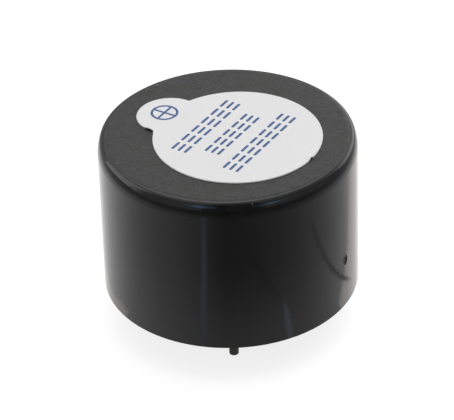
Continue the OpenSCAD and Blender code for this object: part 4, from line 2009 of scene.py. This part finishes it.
@dataclass
class Studio:
    """Floor, lamp, cards, world and camera.

    Attributes:
        foot: Box of a packed pin, whose tip touches the floor.
        aim_z: Height of the point that the camera and the lamp face.
        distance: Distance of the camera from it.
        elevation: How far the camera looks down, in degrees.
        lens: Focal length.
        roll: How far the camera is turned about its own axis, in degrees.
        shift: How far the camera's view is shifted, as a share of its width.
        sky: Brightness of the soft fill, where the white background is 1.
        lamp_place: Middle of the lamp.
        lamp_size: Length of its side.
        lamp_level: Its brightness, where 1 is as bright as the white background.
        floor_half: Half the width of the floor.
        floor_grey: How much light the floor sends back.
        floor_glow: How brightly it glows of its own.
        floor_mirrored: Tint of the glow as shiny surfaces see it.
        layers: Heights of the graded card, the patches and the ribbons above the floor.
        flags: The cards that stand round the object.
        ribbons: The strips on the floor.
        patches: The flat cards on the floor.
    """

    foot: NodeBox = field(default_factory=lambda: NodeBox.of("pin_front"))
    aim_z: float = 7.1
    distance: float = 216.0
    elevation: float = 34.0
    lens: float = 183.9
    roll: float = -1.8
    shift: Point2 = (-0.005727, -0.002313)
    sky: float = 0.5
    lamp_place: Point3 = (60.0, 120.0, 420.0)
    lamp_size: float = 560.0
    lamp_level: float = 1.33
    floor_half: float = 2500.0
    floor_grey: float = 0.38
    floor_glow: float = 0.8
    floor_mirrored: Colour = (1.02, 0.985, 0.955)
    layers: Point3 = (0.02, 0.03, 0.04)
    flags: tuple[Flag, ...] = (
        Flag("dark_front", grey(0.08), (-112.0, -62.0), (-3.0, 40.0)),
        Flag("dark_front_upper_part", grey(0.15), (-112.0, -62.0), (40.0, 72.0)),
        Flag("grey_front_left", grey(0.45), (-166.0, -112.0), (-3.0, 60.0)),
        Flag("grey_front_right", grey(0.38), (-62.0, 14.0), (-3.0, 66.0)),
        Flag("grey_back", grey(0.64), (80.0, 146.0), (-3.0, 34.0)),
        Flag("back_sheet", grey(2.0), (80.0, 113.0), (44.0, 76.0)),
        Flag("back_sheet_edge", grey(1.4), (64.0, 80.0), (38.0, 76.0)),
        Flag("grey_over_the_right", grey(0.72), (10.0, 64.0), (42.0, 76.0)),
        Flag("overhead_sheet", grey(0.8), (-180.0, 180.0), (72.0, 90.0), radius=330.0),
        Flag("left_softbox", grey(2.1), (146.0, 182.0), (-2.0, 49.0)),
        Flag("left_softbox_upper_corner", grey(1.9), (130.0, 146.0), (28.0, 46.0), radius=318.0),
        Flag("left_softbox_edge", grey(1.5), (182.0, 189.0), (-2.0, 46.0)),
        Flag("left_softbox_fall-off", grey(0.9), (189.0, 197.0), (-2.0, 43.0)),
        Flag("right_softbox_fall-off", grey(1.15), (10.0, 22.0), (8.0, 42.0)),
        Flag("right_softbox", grey(2.15), (22.0, 62.0), (6.0, 37.0)),
        Flag("right_softbox_edge", grey(1.7), (62.0, 80.0), (4.0, 31.0)),
        Flag("left_window", (0.45, 0.75, 1.15), (-129.0, -100.0), (8.0, 22.0), 300.0, 0.9),
        Flag("left_window_middle", (0.9, 1.4, 2.5), (-121.0, -110.0), (10.0, 20.0), 299.0, 0.9),
        Flag("right_window", (0.45, 0.8, 1.15), (-69.0, -40.0), (8.0, 16.0), 300.0, 0.9),
        Flag("right_window_middle", (0.95, 1.5, 2.5), (-61.0, -50.0), (9.0, 15.0), 299.0, 0.9),
    )
    ribbons: tuple[Ribbon, ...] = (
        Ribbon(
            "left_window_streak", (0.42, 0.50, 0.66),
            ((-5.0, -15.8), (-8.1, -23.0), (-12.6, -36.0), (-20.0, -56.0)), 1.4,
        ),
        Ribbon(
            "right_window_streak", (0.6, 0.69, 0.8),
            ((8.6, -13.2), (10.2, -14.9), (11.8, -16.7), (13.3, -18.9)), 1.2,
        ),
        Ribbon(
            "sheet_edge", grey(0.17),
            ((32.0, -17.5), (29.8, -14.6), (24.0, -7.0), (18.4, -0.3), (16.8, 1.6)), 0.7,
        ),
        Ribbon(
            "sheet_fold", grey(0.08),
            ((5.0, -37.0), (6.2, -34.1), (8.1, -30.5), (10.1, -27.0), (11.3, -24.1), (13.2, -19.7)), 0.75,
        ),
    )
    patches: tuple[Patch, ...] = (
        Patch(
            "lit_floor_on_the_right", (1.25, 1.2, 1.145),
            (
                (12.5, 2.0), (15.0, -4.2), (16.0, -4.4), (18.0, -2.4), (20.0, 1.0), (22.2, 4.2),
                (25.0, 7.4), (34.0, 18.0), (30.0, 34.0), (12.0, 34.0),
            ),
        ),
        Patch(
            "lit_floor_on_the_left", (1.14, 1.11, 1.07),
            (
                (-12.0, 12.0), (-14.0, 11.0), (-15.6, 6.0), (-15.8, 1.0), (-16.6, -2.5),
                (-15.9, -5.0), (-12.5, -4.0),
            ),
        ),
    )

    @property
    def floor_z(self) -> float:
        """Height of the floor, which the tips of the pins touch."""
        return self.foot.low[2]

    def seen_background(self, w: Wiring) -> bpy.types.NodeSocket:
        """Picks the rays that see the background as it is: camera, glossy and transmission rays.

        Args:
            w: The material's wiring.

        Returns:
            A socket that is 1 for these rays and 0 for others.
        """
        path = w.add("ShaderNodeLightPath")
        seen = w.math("MAXIMUM", path.outputs["Is Camera Ray"], path.outputs["Is Glossy Ray"])
        return w.math("MAXIMUM", seen, path.outputs["Is Transmission Ray"])

    def build_world(self) -> None:
        """Makes the world: white to look at, and a plain soft fill for the object."""
        world = bpy.data.worlds.new("Studio air")
        world.use_nodes = True
        w = Wiring(world.node_tree)
        back = world.node_tree.nodes["Background"]
        w.fill(back.inputs["Color"], WHITE)
        w.fill(back.inputs["Strength"], w.between(self.seen_background(w), self.sky, 1.0))
        bpy.context.scene.world = world

    def build_floor(self) -> None:
        """Makes the floor, a pale plate that looks white and keeps the object's shadow."""
        lines = spaced(-self.floor_half, self.floor_half, 8)
        faces = grid_faces(len(lines), len(lines))
        mesh = Mesh([(x, y, self.floor_z) for y in lines for x in lines], faces, [0] * len(faces))
        material, w, shader = new_material("White floor")
        glossy = w.add("ShaderNodeLightPath").outputs["Is Glossy Ray"]
        values = {
            "Base Color": (*grey(self.floor_grey), 1.0), "Roughness": 0.9, "Specular IOR Level": 0.0,
            "Emission Color": w.mix(glossy, WHITE, (*self.floor_mirrored, 1.0)),
            "Emission Strength": w.math("MULTIPLY", self.seen_background(w), self.floor_glow),
        }
        w.fill_all(shader, values)
        floor = mesh.build("floor", [material])

    def build_lamp(self) -> None:
        """Makes a square lamp that faces the object and that shiny surfaces don't see."""
        side = self.lamp_size * MM
        data = bpy.data.lights.new("Overhead lamp", "AREA")
        data.shape = "SQUARE"
        data.size = side
        data.energy = self.lamp_level * math.pi * side**2
        lamp = add_object("Overhead lamp", data)
        lamp.visible_glossy = False
        lamp.location = Vector(self.lamp_place) * MM
        aim = Vector((0.0, 0.0, self.aim_z * MM))
        lamp.rotation_euler = (aim - lamp.location).to_track_quat("-Z", "Y").to_euler()

    def build_camera(self) -> None:
        """Makes the camera, which looks down at the front of the object."""
        data = bpy.data.cameras.new("camera")
        data.lens = self.lens
        data.sensor_width = 36.0
        data.shift_x, data.shift_y = self.shift
        data.clip_start = 0.01
        data.clip_end = 20.0
        camera = add_object("camera", data)
        tilt = math.radians(self.elevation)
        away, above = self.distance * math.cos(tilt), self.distance * math.sin(tilt)
        place = Vector((0.0, -away, self.aim_z + above)) * MM
        nod = Matrix.Rotation(math.radians(90.0) - tilt, 4, "X")
        roll = Matrix.Rotation(math.radians(self.roll), 4, "Z")
        camera.matrix_world = Matrix.Translation(place) @ nod @ roll
        bpy.context.scene.camera = camera

    def build(self) -> None:
        """Makes the whole studio."""
        bpy.context.scene.view_settings.view_transform = "Standard"
        self.build_camera()
        self.build_world()
        self.build_floor()
        for flag in self.flags:
            flag.build()
        pool = GradedCard("graded_card", grey(1.0))
        for cards, height in zip(((pool,), self.patches, self.ribbons), self.layers):
            for card in cards:
                card.build(self.floor_z + height)
        self.build_lamp()


def main() -> None:
    """Builds the studio and each piece in order."""
    logging.basicConfig(level=logging.INFO, format="%(name)s: %(message)s", force=True)
    Studio().build()
    palette = Palette()
    InnerParts().dress(palette)
    cup = Cup()
    seal = Seal()
    pieces = [
        cup.build(palette),
        seal.build_film(palette),
        Print(seal).build(palette),
        Pin("front_terminal", "pin_front").build(palette),
        Pin("rear_terminal", "pin_rear").build(palette),
        Lint(cup).build(palette),
    ]
    for piece in pieces:
        LOG.info("%s: %d faces", piece.name, len(piece.data.polygons))


if __name__ == "__main__":
    main()
